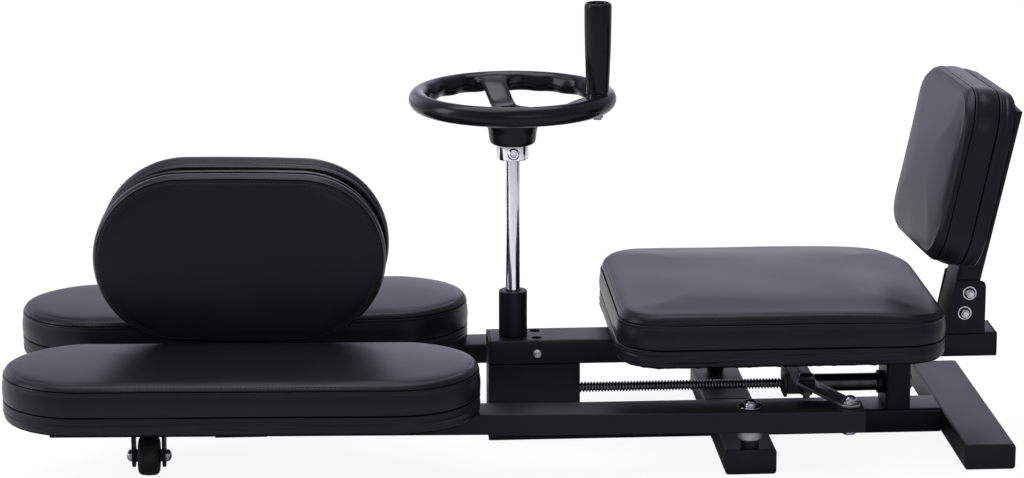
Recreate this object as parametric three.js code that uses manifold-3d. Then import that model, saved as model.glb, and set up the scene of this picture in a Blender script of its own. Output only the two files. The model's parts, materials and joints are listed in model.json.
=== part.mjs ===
import * as THREE from 'three';
import { mergeVertices } from 'three/addons/utils/BufferGeometryUtils.js';
import Module from 'manifold-3d';

// Leg stretching machine. Lengths in mm, angles in degrees. The middle foot's centre line is x = 0 while the
// pieces are made, the sitter looks along -x, left is the sitter's left (-y), and z = 0 is the floor.
// The whole is moved at the end so that the origin is the centre of its footprint.

const wasm = await Module();
wasm.setup();

// Fits used everywhere
const fitGap = 0.3;
const slideGap = 0.3;
const cutOverrun = 5;
const joinOverlap = 1;
const weldReach = 0.0001;

// Square tubes of the frame
const tubeWide = 60;
const tubeHigh = 30;
const tubeWall = 2.5;
const tubeCorner = 4;
const capThick = 3;
const capPlug = 12;

// Base
const beamFront = -297.5;
const footCentre = 281.5;
const footReach = 150;
const footHalf = tubeWide / 2 + footReach;
const postCentre = 198.8;
const mainBottom = 94.5;
const mainRear = 317.2;

// Gearbox and steering column
const columnX = -266.5;
const housingLong = 110;
const housingWall = 4;
const sleeveOuter = 17;
const sleeveTall = 55.5;
const shaftRadius = 8.6;
const shaftBottom = 66;
const rimHeight = 414.4;
const hubBelowRim = 14.4;
const hubTall = 40.2;
const hubTop = rimHeight - hubBelowRim;
const hubBottom = hubTop - hubTall;
const hubRadius = 30.5;
const hubRound = 6;
const collarRadius = 19;
const collarTall = 18;
const collarBottom = hubBottom - collarTall;
const collarScrewRadius = 2.2;
const sidePanRadius = 5.2;
const sidePanHigh = 2.4;
const sideScrewX = -239.1;
const sideScrewZ = 108.6;
const accessHoleRadius = 6.5;
const accessHoleX = -239.2;
const accessHoleY = 16;

// Handwheel
const rimMajor = 111;
const rimMinor = 12;
const scallops = 18;
const scallopDeep = 3.6;
const spokes = 3;
const firstSpoke = 98;
const spokeHubWide = 33;
const spokeRimWide = 29;
const spokeThick = 9;
const spokeDrop = 10;
const gripRadiusOnWheel = 105.3;
const gripStand = 13;
const gripLong = 107;
const gripBottom = rimHeight + gripStand;
const gripTop = gripBottom + gripLong;
const gripFoot = 13.4;
const gripHead = 16;
const gripRound = 3;
const gripRecess = 11.5;
const gripRecessDeep = 2.5;
const spindleRadius = 5;
const spindleNut = 8;
const spindleNutHigh = 5;
const spindleHead = 8.5;

// Lead screw and bevel gears
const screwHeight = 57;
const screwRadius = 6.3;
const journalRadius = 5;
const screwFront = -258.5;
const threadStart = -222;
const sleeveTubeOuter = 10.8;
const sleeveTubeRear = 176.5;
const bearingRadius = 14;
const endNutAcross = 17.6;
const endNutThick = 6;
const gearModule = 2;
const gearTeeth = 20;
const gearFace = 11;
const gearHub = 12;
const gearHubRadius = 14;
const toothRootShare = 0.3;
const toothTipShare = 0.12;

// Nut carriage
const carriageX = 79;
const blockHalfX = 14;
const blockHalfY = 15;
const blockBottom = 47;
const flangeThick = 3.5;
const flangeHalf = 17;
const crossWide = 24;
const carriagePinY = 78;
const crossHalf = carriagePinY + crossWide / 2;
const crossThick = 4;
const carriageNutRadius = 7.5;
const carriageNutHigh = 8;
const carriageStub = 4;
const carriageStubRadius = 4;
const sleeveClear = 1.2;

// Leg arms, links and pivots
const armWide = 50;
const armHigh = 25;
const armWall = 2;
const armCorner = 3;
const armBottom = 52.5;
const armFront = 812;
const armRear = 132;
const toeIn = 2.6;
const pivotY = 165;
const pivotPinRadius = 6;
const bushRadius = 14.6;
const bushFoot = 12;
const bushFootHigh = 5;
const washerRadius = 15;
const washerThick = 2;
const domeRadius = 6.5;
const crank = 116;
const linkWide = 24;
const linkThick = 4;
const linkPinRadius = 5;
const linkWasherRadius = 10.5;
const nutRadius = 7.5;
const nutHigh = 7;
const armNutHigh = 8;

// Casters
const casterFromPivot = 700;
const casterPlateInner = 16;
const casterPlateThick = 3.2;
const casterPlateHalf = 13;
const casterPlateBottom = 10;
const casterWheelRadius = 23.5;
const casterWheelWide = 24;
const casterTyreRound = 4;
const casterAxleRadius = 4;
const casterHeadRadius = 7.5;
const casterHeadHigh = 5;
const casterSpacer = 7;

// Cushions
const legPadLong = 549;
const legPadWide = 194;
const legPadFromPivot = 587;
const legPadOutward = 10;
const legPadSide = 53;
const legPadCrown = 8;
const innerPadLong = 342;
const innerPadHigh = 197;
const innerPadCentreX = -591.5;
const innerPadCentreZ = 234.5;
const innerPadSide = 48;
const innerPadCrown = 8;
const bracketThick = 4;
const bracketWide = 60;
const bracketRise = 292;
const bracketMiddleGap = 1.2;
const seatFront = -152;
const seatRear = 239;
const seatHalf = 168;
const seatCorner = 72;
const seatSide = 52;
const seatCrown = 17;
const backHalf = 124;
const backLow = 268;
const backHigh = 481;
const backCorner = 42;
const backSide = 50;
const backCrown = 15;
const cushionDraw = 7;

// Backrest post and its saddle
const backTilt = 12.08;
const postRearAtOrigin = 249.1;
const uprightTop = 457;
const saddleFront = 251;
const saddleRear = 301;
const saddleTopFront = 263.5;
const saddleTop = 190;
const saddlePlate = 3;
const backBoltRadius = 4;
const backBoltHead = 7.5;
const backBoltHeadHigh = 5;
const backBoltTail = 3;
const upperBoltX = 281;
const upperBoltZ = 175;
const lowerBoltX = 275.7;
const lowerBoltZ = 150.5;

// Numbers of facets
const roundSteps = 28;
const smallSteps = 12;
const hexSides = 6;
const cornerSteps = 3;
const ringSteps = 12;
const stepsPerScallop = 5;
const cushionCorner = 9;

// Shape shares: [draw-in share, height share] from the bottom edge to the seam, then over the crown
const sideShares = [[0.75, 0], [0.15, 0.12], [0, 0.45], [0.1, 0.8], [0.35, 1]];
const crownShares = [[0.1, 0.42], [0.28, 0.74], [0.55, 0.95], [0.85, 1]];
const crownCornerShare = 0.3;

const finishes = {
  powder: { color: 0x141418, roughness: 0.5, metalness: 0.25 },
  cap: { color: 0x101013, roughness: 0.6, metalness: 0 },
  leather: { color: 0x15151b, roughness: 0.42, metalness: 0 },
  gloss: { color: 0x0d0d11, roughness: 0.2, metalness: 0 },
  rubber: { color: 0x0e0e10, roughness: 0.7, metalness: 0 },
  chrome: { color: 0xd5d6da, roughness: 0.12, metalness: 1 },
  steel: { color: 0x9c9da2, roughness: 0.3, metalness: 1 },
  oiled: { color: 0x232325, roughness: 0.35, metalness: 0.8 },
  cast: { color: 0x3b3b3d, roughness: 0.5, metalness: 0.9 },
};

const group = new THREE.Group();
group.name = 'leg_stretching_machine';

const radians = (degrees) => THREE.MathUtils.degToRad(degrees);

function addPiece(name, geometry, finish) {
  const clean = weld(geometry);
  clean.computeVertexNormals();
  const mesh = new THREE.Mesh(clean, new THREE.MeshStandardMaterial(finishes[finish]));
  mesh.name = name;
  group.add(mesh);
}

// Six times the volume that the faces close in, negative when they face inward
function signedVolume(geometry) {
  const points = geometry.attributes.position;
  const index = geometry.index.array;
  const corner = (k) => new THREE.Vector3().fromBufferAttribute(points, index[k]);
  let sum = 0;
  for (let i = 0; i < index.length; i += 3) {
    sum += corner(i).dot(corner(i + 1).cross(corner(i + 2)));
  }
  return sum;
}

// Bare welded copy with its faces outward
function weld(geometry) {
  const bare = geometry.clone();
  bare.deleteAttribute('normal');
  bare.deleteAttribute('uv');
  const welded = mergeVertices(bare, weldReach);
  if (signedVolume(welded) < 0) {
    const index = welded.index.array;
    for (let i = 0; i < index.length; i += 3) {
      [index[i + 1], index[i + 2]] = [index[i + 2], index[i + 1]];
    }
  }
  return welded;
}

function toSolid(geometry) {
  const welded = weld(geometry);
  return new wasm.Manifold(new wasm.Mesh({
    numProp: 3,
    vertProperties: new Float32Array(welded.attributes.position.array),
    triVerts: new Uint32Array(welded.index.array),
  }));
}

function toGeometry(solid) {
  const mesh = solid.getMesh();
  const geometry = new THREE.BufferGeometry();
  geometry.setAttribute('position', new THREE.BufferAttribute(new Float32Array(mesh.vertProperties), 3));
  geometry.setIndex(new THREE.BufferAttribute(new Uint32Array(mesh.triVerts), 1));
  return geometry;
}

const union = (...parts) => toGeometry(parts.map(toSolid).reduce((sum, part) => sum.add(part)));

const cut = (body, ...tools) => toGeometry(
  tools.map(toSolid).reduce((left, tool) => left.subtract(tool), toSolid(body)),
);

function moved(geometry, x, y, z) {
  return geometry.clone().translate(x, y, z);
}

// The same piece on the other side of the machine
const mirrored = (geometry) => weld(geometry.clone().scale(1, -1, 1));

function addPair(name, makeLeft, finish) {
  const left = makeLeft();
  addPiece(`${name}_left`, left, finish);
  addPiece(`${name}_right`, mirrored(left), finish);
}

// Closed skin over rings of equal length, ended by a fan at each end
function skin(rings, closedLoop = false) {
  const count = rings[0].length;
  const points = rings.flat();
  const index = [];
  const last = closedLoop ? rings.length : rings.length - 1;
  for (let r = 0; r < last; r += 1) {
    const next = (r + 1) % rings.length;
    for (let i = 0; i < count; i += 1) {
      const j = (i + 1) % count;
      const [a, b, c, d] = [r * count + i, r * count + j, next * count + j, next * count + i];
      index.push(a, b, c, a, c, d);
    }
  }
  if (!closedLoop) {
    const middle = (ring) => ring.reduce((sum, p) => sum.add(p), new THREE.Vector3()).divideScalar(count);
    points.push(middle(rings[0]), middle(rings[rings.length - 1]));
    const [low, high, top] = [points.length - 2, points.length - 1, (rings.length - 1) * count];
    for (let i = 0; i < count; i += 1) {
      const j = (i + 1) % count;
      index.push(low, j, i);
      index.push(high, top + i, top + j);
    }
  }
  const geometry = new THREE.BufferGeometry();
  const flat = points.flatMap((p) => [p.x, p.y, p.z]);
  geometry.setAttribute('position', new THREE.Float32BufferAttribute(flat, 3));
  geometry.setIndex(index);
  return geometry;
}

// Counter-clockwise outline of a rectangle with round corners, as points in a plane
function roundedOutline(long, wide, corner, steps) {
  const radius = Math.min(corner, long / 2, wide / 2);
  const points = [];
  const corners = [[1, 1], [-1, 1], [-1, -1], [1, -1]];
  corners.forEach(([sx, sy], quarter) => {
    for (let s = 0; s <= steps; s += 1) {
      const angle = (quarter + s / steps) * Math.PI / 2;
      const x = sx * (long / 2 - radius) + radius * Math.cos(angle);
      const y = sy * (wide / 2 - radius) + radius * Math.sin(angle);
      points.push(new THREE.Vector2(x, y));
    }
  });
  return points;
}

// Solid with the same outline from one height to another, along z
function prism(outline, low, high) {
  const ring = (z) => outline.map((p) => new THREE.Vector3(p.x, p.y, z));
  return skin([ring(low), ring(high)]);
}

function box(x0, x1, y0, y1, z0, z1) {
  const geometry = new THREE.BoxGeometry(x1 - x0, y1 - y0, z1 - z0);
  return geometry.translate((x0 + x1) / 2, (y0 + y1) / 2, (z0 + z1) / 2);
}

// Round bar along z
function rod(radius, low, high, steps = smallSteps) {
  const geometry = new THREE.CylinderGeometry(radius, radius, high - low, steps);
  return geometry.rotateX(Math.PI / 2).translate(0, 0, (low + high) / 2);
}

// Body of revolution about z from [radius, height] points that start and end on the axis
function turned(profile, steps = smallSteps) {
  const points = profile.map(([radius, height]) => new THREE.Vector2(radius, height));
  return weld(new THREE.LatheGeometry(points, steps).rotateX(Math.PI / 2));
}

const turnedToX = (geometry) => geometry.clone().rotateY(Math.PI / 2);
const turnedToMinusY = (geometry) => geometry.clone().rotateX(Math.PI / 2);

// Hollow tube along z, open at both ends
function tube(long, wide, wall, corner, low, high) {
  const outer = prism(roundedOutline(long, wide, corner, cornerSteps), low, high);
  const innerCorner = Math.max(corner - wall, wall / 2);
  const innerOutline = roundedOutline(long - 2 * wall, wide - 2 * wall, innerCorner, cornerSteps);
  return cut(outer, prism(innerOutline, low - cutOverrun, high + cutOverrun));
}

// Plastic cap of a tube along z: a plate with a plug that goes inside
function tubeCap(long, wide, wall, corner, face) {
  const plate = prism(roundedOutline(long, wide, corner, cornerSteps), 0, capThick);
  const inner = wall + fitGap;
  const plugOutline = roundedOutline(long - 2 * inner, wide - 2 * inner, corner - inner / 2, cornerSteps);
  return moved(union(plate, prism(plugOutline, -capPlug, capThick / 2)), 0, 0, face);
}

// Lays a tube made along z so that it runs along x at a given height, wide side level
const layAlongX = (geometry, z) => geometry.clone().rotateY(Math.PI / 2).translate(0, 0, z);
// Lays a tube made along z so that it runs along y at a given height, wide side level
const layAlongY = (geometry, z) => geometry.clone().rotateX(-Math.PI / 2).translate(0, 0, z);

// Moves a piece made about the arm's own line to its place at rest on the left side
function onLeftArm(geometry) {
  return geometry.clone().rotateZ(radians(toeIn) * -1).translate(0, -pivotY, 0);
}

// Six-sided outline, as points in a plane
function hexagon(radius, turn) {
  return Array.from({ length: hexSides }, (_, i) => {
    const angle = ((i + turn) / hexSides) * 2 * Math.PI;
    return new THREE.Vector2(radius * Math.cos(angle), radius * Math.sin(angle));
  });
}

function domedBolt(radius, head, headHigh, low, seat) {
  return turned([
    [0, low],
    [radius, low],
    [radius, seat],
    [head, seat],
    [head, seat + headHigh / 3],
    [head * 0.75, seat + headHigh * 0.8],
    [head * 0.3, seat + headHigh],
    [0, seat + headHigh],
  ]);
}

function makeBase() {
  const half = tubeHigh / 2;
  const footFace = footCentre - tubeWide / 2;
  const beam = tube(tubeHigh, tubeWide, tubeWall, tubeCorner, beamFront + capThick, footFace);
  addPiece('lower_beam', layAlongX(beam, half), 'powder');
  const frontCap = tubeCap(tubeHigh, tubeWide, tubeWall, tubeCorner, 0).rotateY(Math.PI);
  addPiece('lower_beam_cap', layAlongX(moved(frontCap, 0, 0, beamFront + capThick), half), 'cap');

  const footTube = tube(tubeWide, tubeHigh, tubeWall, tubeCorner, tubeWide / 2, footHalf - capThick);
  const footCap = tubeCap(tubeWide, tubeHigh, tubeWall, tubeCorner, footHalf - capThick);
  const onLeft = (geometry) => mirrored(layAlongY(geometry, half));
  addPair('mid_foot', () => onLeft(footTube), 'powder');
  addPair('mid_foot_cap', () => onLeft(footCap), 'cap');

  const rearHalf = footHalf - capThick;
  const rearTube = tube(tubeWide, tubeHigh, tubeWall, tubeCorner, -rearHalf, rearHalf);
  addPiece('rear_foot', moved(layAlongY(rearTube, half), footCentre, 0, 0), 'powder');
  addPair('rear_foot_cap', () => moved(onLeft(footCap), footCentre, 0, 0), 'cap');

  const post = tube(tubeHigh, tubeWide, tubeWall, tubeCorner, tubeHigh, mainBottom);
  const journalHole = turnedToX(rod(journalRadius + fitGap, -tubeHigh, tubeHigh));
  const bored = cut(post, moved(journalHole, 0, 0, screwHeight));
  addPiece('rear_post', moved(bored, postCentre, 0, 0), 'powder');
}

function makeMainTube() {
  const middle = mainBottom + tubeHigh / 2;
  const top = mainBottom + tubeHigh;
  const front = beamFront + capThick;
  const rear = mainRear - capThick;
  const body = layAlongX(tube(tubeHigh, tubeWide, tubeWall, tubeCorner, front, rear), middle);
  const shaftHole = rod(shaftRadius + fitGap, mainBottom - cutOverrun, top + cutOverrun);
  const accessHole = rod(accessHoleRadius, middle, top + cutOverrun);
  const screwHole = moved(turnedToMinusY(rod(sidePanHigh, 0, tubeWide)), sideScrewX, 0, sideScrewZ);
  addPiece('main_tube', cut(
    body,
    moved(shaftHole, columnX, 0, 0),
    moved(accessHole, accessHoleX, -accessHoleY, 0),
    moved(accessHole, accessHoleX, accessHoleY, 0),
    screwHole,
  ), 'powder');
  const cap = tubeCap(tubeHigh, tubeWide, tubeWall, tubeCorner, 0);
  const frontCap = cap.clone().rotateY(Math.PI);
  addPiece('main_tube_cap_front', layAlongX(moved(frontCap, 0, 0, front), middle), 'cap');
  addPiece('main_tube_cap_rear', layAlongX(moved(cap, 0, 0, rear), middle), 'cap');
  const pan = domedBolt(sidePanHigh - fitGap, sidePanRadius, sidePanHigh, -tubeWall, 0);
  addPiece('housing_screw', moved(turnedToMinusY(pan), sideScrewX, -tubeWide / 2, sideScrewZ), 'steel');
}

function makeGearbox() {
  const middle = beamFront + housingLong / 2;
  const walls = tube(housingLong, tubeWide, housingWall, housingWall, tubeHigh, mainBottom);
  const screwHole = turnedToX(rod(journalRadius + fitGap, 0, housingLong));
  const bored = cut(walls, moved(screwHole, 0, 0, screwHeight));
  addPiece('gearbox_housing', moved(bored, middle, 0, 0), 'powder');

  const top = mainBottom + tubeHigh;
  const sleeve = rod(sleeveOuter, top, top + sleeveTall, roundSteps);
  const bore = rod(shaftRadius + fitGap, top - cutOverrun, top + sleeveTall + cutOverrun, roundSteps);
  addPiece('shaft_sleeve', moved(cut(sleeve, bore), columnX, 0, 0), 'powder');
}

// Scalloped ring: the inward half of its section is drawn back between the finger grips
function makeRim() {
  const rings = [];
  const around = scallops * stepsPerScallop;
  for (let i = 0; i < around; i += 1) {
    const angle = (i / around) * 2 * Math.PI;
    const wave = (1 + Math.cos(angle * scallops)) / 2;
    const ring = [];
    for (let k = 0; k < ringSteps; k += 1) {
      const turn = (k / ringSteps) * 2 * Math.PI;
      const inward = Math.max(0, -Math.cos(turn));
      const radius = rimMinor - scallopDeep * wave * inward;
      const out = rimMajor + radius * Math.cos(turn);
      ring.push(new THREE.Vector3(out * Math.cos(angle), out * Math.sin(angle), radius * Math.sin(turn)));
    }
    rings.push(ring);
  }
  return moved(skin(rings, true), 0, 0, rimHeight);
}

// Flat arm of the wheel, lower at the hub than at the rim
function makeSpoke(angle) {
  const start = hubRadius / 2;
  const end = rimMajor - rimMinor / 3;
  const section = (x, wide, top) => [
    new THREE.Vector3(x, -wide / 2, top - spokeThick),
    new THREE.Vector3(x, wide / 2, top - spokeThick),
    new THREE.Vector3(x, wide / 2, top),
    new THREE.Vector3(x, -wide / 2, top),
  ];
  const rimTop = rimHeight + spokeThick / 2;
  const waist = (hubRadius + end) / 2;
  return skin([
    section(start, spokeHubWide, hubTop),
    section(hubRadius, spokeHubWide, hubTop),
    section(waist, spokeRimWide, hubTop + spokeDrop * 0.55),
    section(end, spokeRimWide, rimTop),
  ]).rotateZ(radians(angle));
}

function makeHandwheel() {
  const hub = turned([
    [0, hubBottom],
    [hubRadius - hubRound, hubBottom],
    [hubRadius - hubRound / 3, hubBottom + hubRound / 2],
    [hubRadius, hubTop - hubRound / 2],
    [hubRadius - hubRound / 2, hubTop],
    [0, hubTop],
  ], roundSteps);
  const arms = Array.from({ length: spokes }, (_, i) => makeSpoke(firstSpoke + (i * 360) / spokes));
  const gripAngle = firstSpoke - 360 / spokes;
  const seat = moved(rod(gripFoot, rimHeight - rimMinor / 2, gripBottom - slideGap, roundSteps),
    gripRadiusOnWheel, 0, 0).rotateZ(radians(gripAngle));
  const whole = union(makeRim(), hub, ...arms, seat);
  const bore = rod(shaftRadius, hubBottom - cutOverrun, hubTop - hubRound, roundSteps);
  const spindleHole = rod(spindleRadius + fitGap, hubBottom, gripBottom + cutOverrun);
  const spindleBore = moved(spindleHole, gripRadiusOnWheel, 0, 0).rotateZ(radians(gripAngle));
  const wheel = cut(whole, bore, spindleBore);
  addPiece('handwheel', moved(wheel, columnX, 0, 0), 'gloss');
  makeGrip(gripAngle);
}

function makeGrip(gripAngle) {
  const x = columnX + gripRadiusOnWheel * Math.cos(radians(gripAngle));
  const y = gripRadiusOnWheel * Math.sin(radians(gripAngle));
  const recess = gripTop - gripRecessDeep;
  const headFloor = recess - spindleNutHigh;
  const outside = turned([
    [0, gripBottom],
    [gripFoot - gripRound / 2, gripBottom],
    [gripFoot, gripBottom + gripRound / 2],
    [gripHead, gripTop - gripRound],
    [gripHead - gripRound / 2, gripTop],
    [gripRecess, gripTop],
    [gripRecess - gripRound / 2, recess],
    [0, recess],
  ], roundSteps);
  const bore = rod(spindleRadius + fitGap, gripBottom - cutOverrun, gripTop);
  const headBore = rod(spindleHead + fitGap, headFloor, gripTop);
  addPiece('hand_grip', moved(cut(outside, bore, headBore), x, y, 0), 'gloss');

  const nutTop = rimHeight - rimMinor;
  const nutBottom = nutTop - spindleNutHigh;
  const spindle = turned([
    [0, nutBottom - spindleNutHigh / 2],
    [spindleRadius, nutBottom - spindleNutHigh / 2],
    [spindleRadius, nutBottom],
    [spindleNut, nutBottom],
    [spindleNut, nutTop - fitGap],
    [spindleRadius, nutTop - fitGap],
    [spindleRadius, headFloor + slideGap],
    [spindleHead, headFloor + slideGap],
    [spindleHead, recess],
    [0, recess],
  ]);
  addPiece('grip_spindle', moved(spindle, x, y, 0), 'steel');
}

function makeShaft() {
  const top = hubTop - hubRound;
  addPiece('wheel_shaft', moved(rod(shaftRadius, shaftBottom, top, roundSteps), columnX, 0, 0), 'chrome');
  const ring = rod(collarRadius, collarBottom, hubBottom, roundSteps);
  const bore = rod(shaftRadius, collarBottom - cutOverrun, hubBottom + cutOverrun, roundSteps);
  const middle = (collarBottom + hubBottom) / 2;
  const screwBore = turnedToMinusY(rod(collarScrewRadius + fitGap, shaftRadius / 2, collarRadius * 2));
  const collar = cut(ring, bore, moved(screwBore, 0, 0, middle));
  addPiece('shaft_collar', moved(collar, columnX, 0, 0), 'chrome');
  const thread = collarScrewRadius;
  const start = shaftRadius + fitGap;
  const screw = turned([
    [0, start],
    [thread, start],
    [thread, collarRadius],
    [nutRadius - fitGap, collarRadius],
    [nutRadius - fitGap, collarRadius + nutHigh / 3],
    [nutRadius / 2, collarRadius + nutHigh / 2],
    [0, collarRadius + nutHigh / 2],
  ]);
  addPiece('collar_screw', moved(turnedToMinusY(screw), columnX, 0, middle), 'chrome');
}

// Bevel gear about z with its cone's tip at the origin and its large end upward
function bevelGear(bore) {
  const pitchRadius = (gearModule * gearTeeth) / 2;
  const addendum = gearModule * Math.SQRT1_2;
  const depth = gearModule * 1.25 * Math.SQRT1_2;
  const flanks = [[-toothRootShare, -1], [-toothTipShare, 1], [toothTipShare, 1], [toothRootShare, -1]];
  const outline = (scale, phase) => {
    const ring = [];
    for (let tooth = 0; tooth < gearTeeth; tooth += 1) {
      flanks.forEach(([share, side]) => {
        const angle = ((tooth + share + phase) / gearTeeth) * 2 * Math.PI;
        const lift = side > 0 ? addendum : -depth;
        const radius = (pitchRadius + lift) * scale;
        const z = (pitchRadius - lift) * scale;
        ring.push(new THREE.Vector3(radius * Math.cos(angle), radius * Math.sin(angle), z));
      });
    }
    return ring;
  };
  const small = 1 - gearFace / (pitchRadius / Math.SQRT1_2);
  return (phase) => {
    const low = outline(small, phase);
    const high = outline(1, phase);
    const circle = (ring, radius, z) => ring.map((p) => {
      const reach = radius / Math.hypot(p.x, p.y);
      return new THREE.Vector3(p.x * reach, p.y * reach, z);
    });
    const front = circle(low, pitchRadius * small - depth, pitchRadius * small - addendum);
    const back = circle(high, pitchRadius - 2 * depth, pitchRadius + 2 * depth);
    const teeth = skin([front, low, high, back]);
    const hub = rod(gearHubRadius, pitchRadius, pitchRadius + gearHub);
    const hole = rod(bore + fitGap, 0, pitchRadius + gearHub + cutOverrun, roundSteps);
    return cut(union(teeth, hub), hole);
  };
}

function makeGears() {
  const onShaft = bevelGear(shaftRadius)(0);
  addPiece('drive_bevel', moved(onShaft, columnX, 0, screwHeight), 'cast');
  const onScrew = turnedToX(bevelGear(journalRadius)(0.5));
  addPiece('driven_bevel', moved(onScrew, columnX, 0, screwHeight), 'cast');
}

function makeLeadScrew() {
  const postRear = postCentre + tubeHigh / 2;
  const postFront = postCentre - tubeHigh / 2;
  const tail = postRear + endNutThick + fitGap;
  const shaft = turned([
    [0, screwFront],
    [journalRadius, screwFront],
    [journalRadius, threadStart + housingWall * 2],
    [screwRadius, threadStart + housingWall * 2],
    [screwRadius, sleeveTubeRear],
    [journalRadius, sleeveTubeRear],
    [journalRadius, tail],
    [0, tail],
  ]);
  const inner = beamFront + housingLong - housingWall - fitGap;
  const outer = beamFront + housingLong + fitGap;
  const neck = cut(
    rod(screwRadius + cutOverrun, inner, outer),
    rod(journalRadius, inner - cutOverrun, outer + cutOverrun),
  );
  addPiece('lead_screw', moved(turnedToX(cut(shaft, neck)), 0, 0, screwHeight), 'oiled');

  const sleeveFront = carriageX + blockHalfX + sleeveClear;
  const sleeve = cut(
    rod(sleeveTubeOuter, sleeveFront, sleeveTubeRear, roundSteps),
    rod(screwRadius, sleeveFront - cutOverrun, sleeveTubeRear + cutOverrun),
  );
  addPiece('stop_sleeve', moved(turnedToX(sleeve), 0, 0, screwHeight), 'oiled');

  const bearing = cut(
    rod(bearingRadius, sleeveTubeRear + slideGap, postFront, roundSteps),
    rod(journalRadius + fitGap, 0, postRear),
  );
  addPiece('screw_bearing', moved(turnedToX(bearing), 0, 0, screwHeight), 'powder');

  const nutOutline = hexagon(endNutAcross / Math.sqrt(3), 0);
  const nut = cut(
    prism(nutOutline, postRear + fitGap, tail),
    rod(journalRadius, postFront, tail + cutOverrun),
  );
  addPiece('screw_end_nut', moved(turnedToX(nut), 0, 0, screwHeight), 'steel');
}

function makeCarriage() {
  const plateTop = armBottom + armHigh - slideGap / 2;
  const plateLow = plateTop - crossThick;
  const joined = plateLow + joinOverlap;
  const block = box(-blockHalfX, blockHalfX, -blockHalfY, blockHalfY, blockBottom, joined);
  const flangeLow = screwHeight - flangeHalf + flangeThick;
  const flangeFront = -blockHalfX - flangeThick;
  const flange = box(flangeFront, joinOverlap - blockHalfX, -flangeHalf, flangeHalf, flangeLow, plateLow);
  const outline = roundedOutline(crossWide, 2 * crossHalf, crossWide / 2, cornerSteps * 2);
  const cross = prism(outline, plateLow, plateTop);
  const boss = rod(carriageNutRadius, plateLow - carriageNutHigh, joined);
  const stub = rod(carriageStubRadius, plateLow - carriageNutHigh - carriageStub, plateLow);
  const seats = [-carriagePinY, carriagePinY].flatMap((y) => [
    moved(boss, 0, y, 0),
    moved(stub, 0, y, 0),
  ]);
  const screwBore = turnedToX(rod(screwRadius + fitGap, -2 * crossWide, 2 * crossWide));
  const whole = cut(union(block, flange, cross, ...seats), moved(screwBore, 0, 0, screwHeight));
  addPiece('nut_carriage', moved(whole, carriageX, 0, 0), 'cast');
}

function makeArm() {
  const armTop = armBottom + armHigh;
  const middle = armBottom + armHigh / 2;
  const body = layAlongX(tube(armHigh, armWide, armWall, armCorner, -armFront, armRear), middle);
  const pivotHole = rod(pivotPinRadius + fitGap, armBottom - cutOverrun, armTop + cutOverrun);
  const linkHole = rod(linkPinRadius + fitGap, armBottom - cutOverrun, armTop + cutOverrun);
  return onLeftArm(cut(body, pivotHole, moved(linkHole, crank, 0, 0)));
}

function makePivot() {
  const bush = turned([
    [0, tubeHigh],
    [bushFoot, tubeHigh],
    [bushFoot, tubeHigh + bushFootHigh],
    [bushRadius, tubeHigh + bushFootHigh],
    [bushRadius, armBottom - slideGap],
    [0, armBottom - slideGap],
  ], roundSteps);
  const bore = rod(pivotPinRadius + fitGap, tubeHigh - cutOverrun, armBottom + cutOverrun, roundSteps);
  addPair('pivot_bush', () => moved(cut(bush, bore), 0, -pivotY, 0), 'steel');

  const armTop = armBottom + armHigh + slideGap;
  const pin = turned([
    [0, tubeHigh],
    [pivotPinRadius, tubeHigh],
    [pivotPinRadius, armTop],
    [washerRadius, armTop],
    [washerRadius, armTop + washerThick],
    [domeRadius + washerThick, armTop + washerThick],
    [domeRadius, armTop + washerThick + nutHigh / 2],
    [domeRadius / 2, armTop + washerThick + nutHigh],
    [0, armTop + washerThick + nutHigh],
  ], roundSteps);
  addPair('pivot_bolt', () => moved(pin, 0, -pivotY, 0), 'chrome');
}

// Flat bar from the arm's rear bolt to the carriage, lying on both
function makeLinks() {
  const low = armBottom + armHigh + slideGap;
  const high = low + linkThick;
  const outer = new THREE.Vector3(crank, 0, 0).applyAxisAngle(new THREE.Vector3(0, 0, 1), -radians(toeIn));
  const dx = carriageX - outer.x;
  const dy = pivotY - outer.y - carriagePinY;
  const long = Math.hypot(dx, dy);
  const outline = roundedOutline(long + linkWide, linkWide, linkWide / 2, cornerSteps * 2);
  const bar = moved(prism(outline, low, high), long / 2, 0, 0);
  const hole = rod(linkPinRadius + fitGap, low - cutOverrun, high + cutOverrun);
  const link = cut(bar, hole, moved(hole, long, 0, 0)).rotateZ(Math.atan2(dy, dx));
  addPair('link', () => moved(link, outer.x, outer.y - pivotY, 0), 'steel');

  const armBolt = turned([
    [0, armBottom - armNutHigh - fitGap],
    [linkPinRadius, armBottom - armNutHigh - fitGap],
    [nutRadius, armBottom - armNutHigh],
    [nutRadius, armBottom - fitGap],
    [linkPinRadius, armBottom - fitGap],
    [linkPinRadius, high + slideGap],
    [linkWasherRadius, high + slideGap],
    [linkWasherRadius, high + slideGap + washerThick],
    [nutRadius, high + slideGap + washerThick],
    [nutRadius, high + washerThick + nutHigh / 2],
    [nutRadius / 2, high + washerThick + nutHigh],
    [0, high + washerThick + nutHigh],
  ]);
  addPair('arm_link_bolt', () => moved(armBolt, outer.x, outer.y - pivotY, 0), 'chrome');

  const headOutline = hexagon(linkWasherRadius - fitGap, 0.5);
  const inner = union(
    rod(linkPinRadius, low, high + washerThick),
    rod(linkWasherRadius + fitGap, high, high + washerThick),
    prism(headOutline, high + washerThick / 2, high + washerThick + nutHigh),
  );
  addPair('carriage_link_bolt', () => moved(inner, carriageX, -carriagePinY, 0), 'oiled');
}

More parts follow.
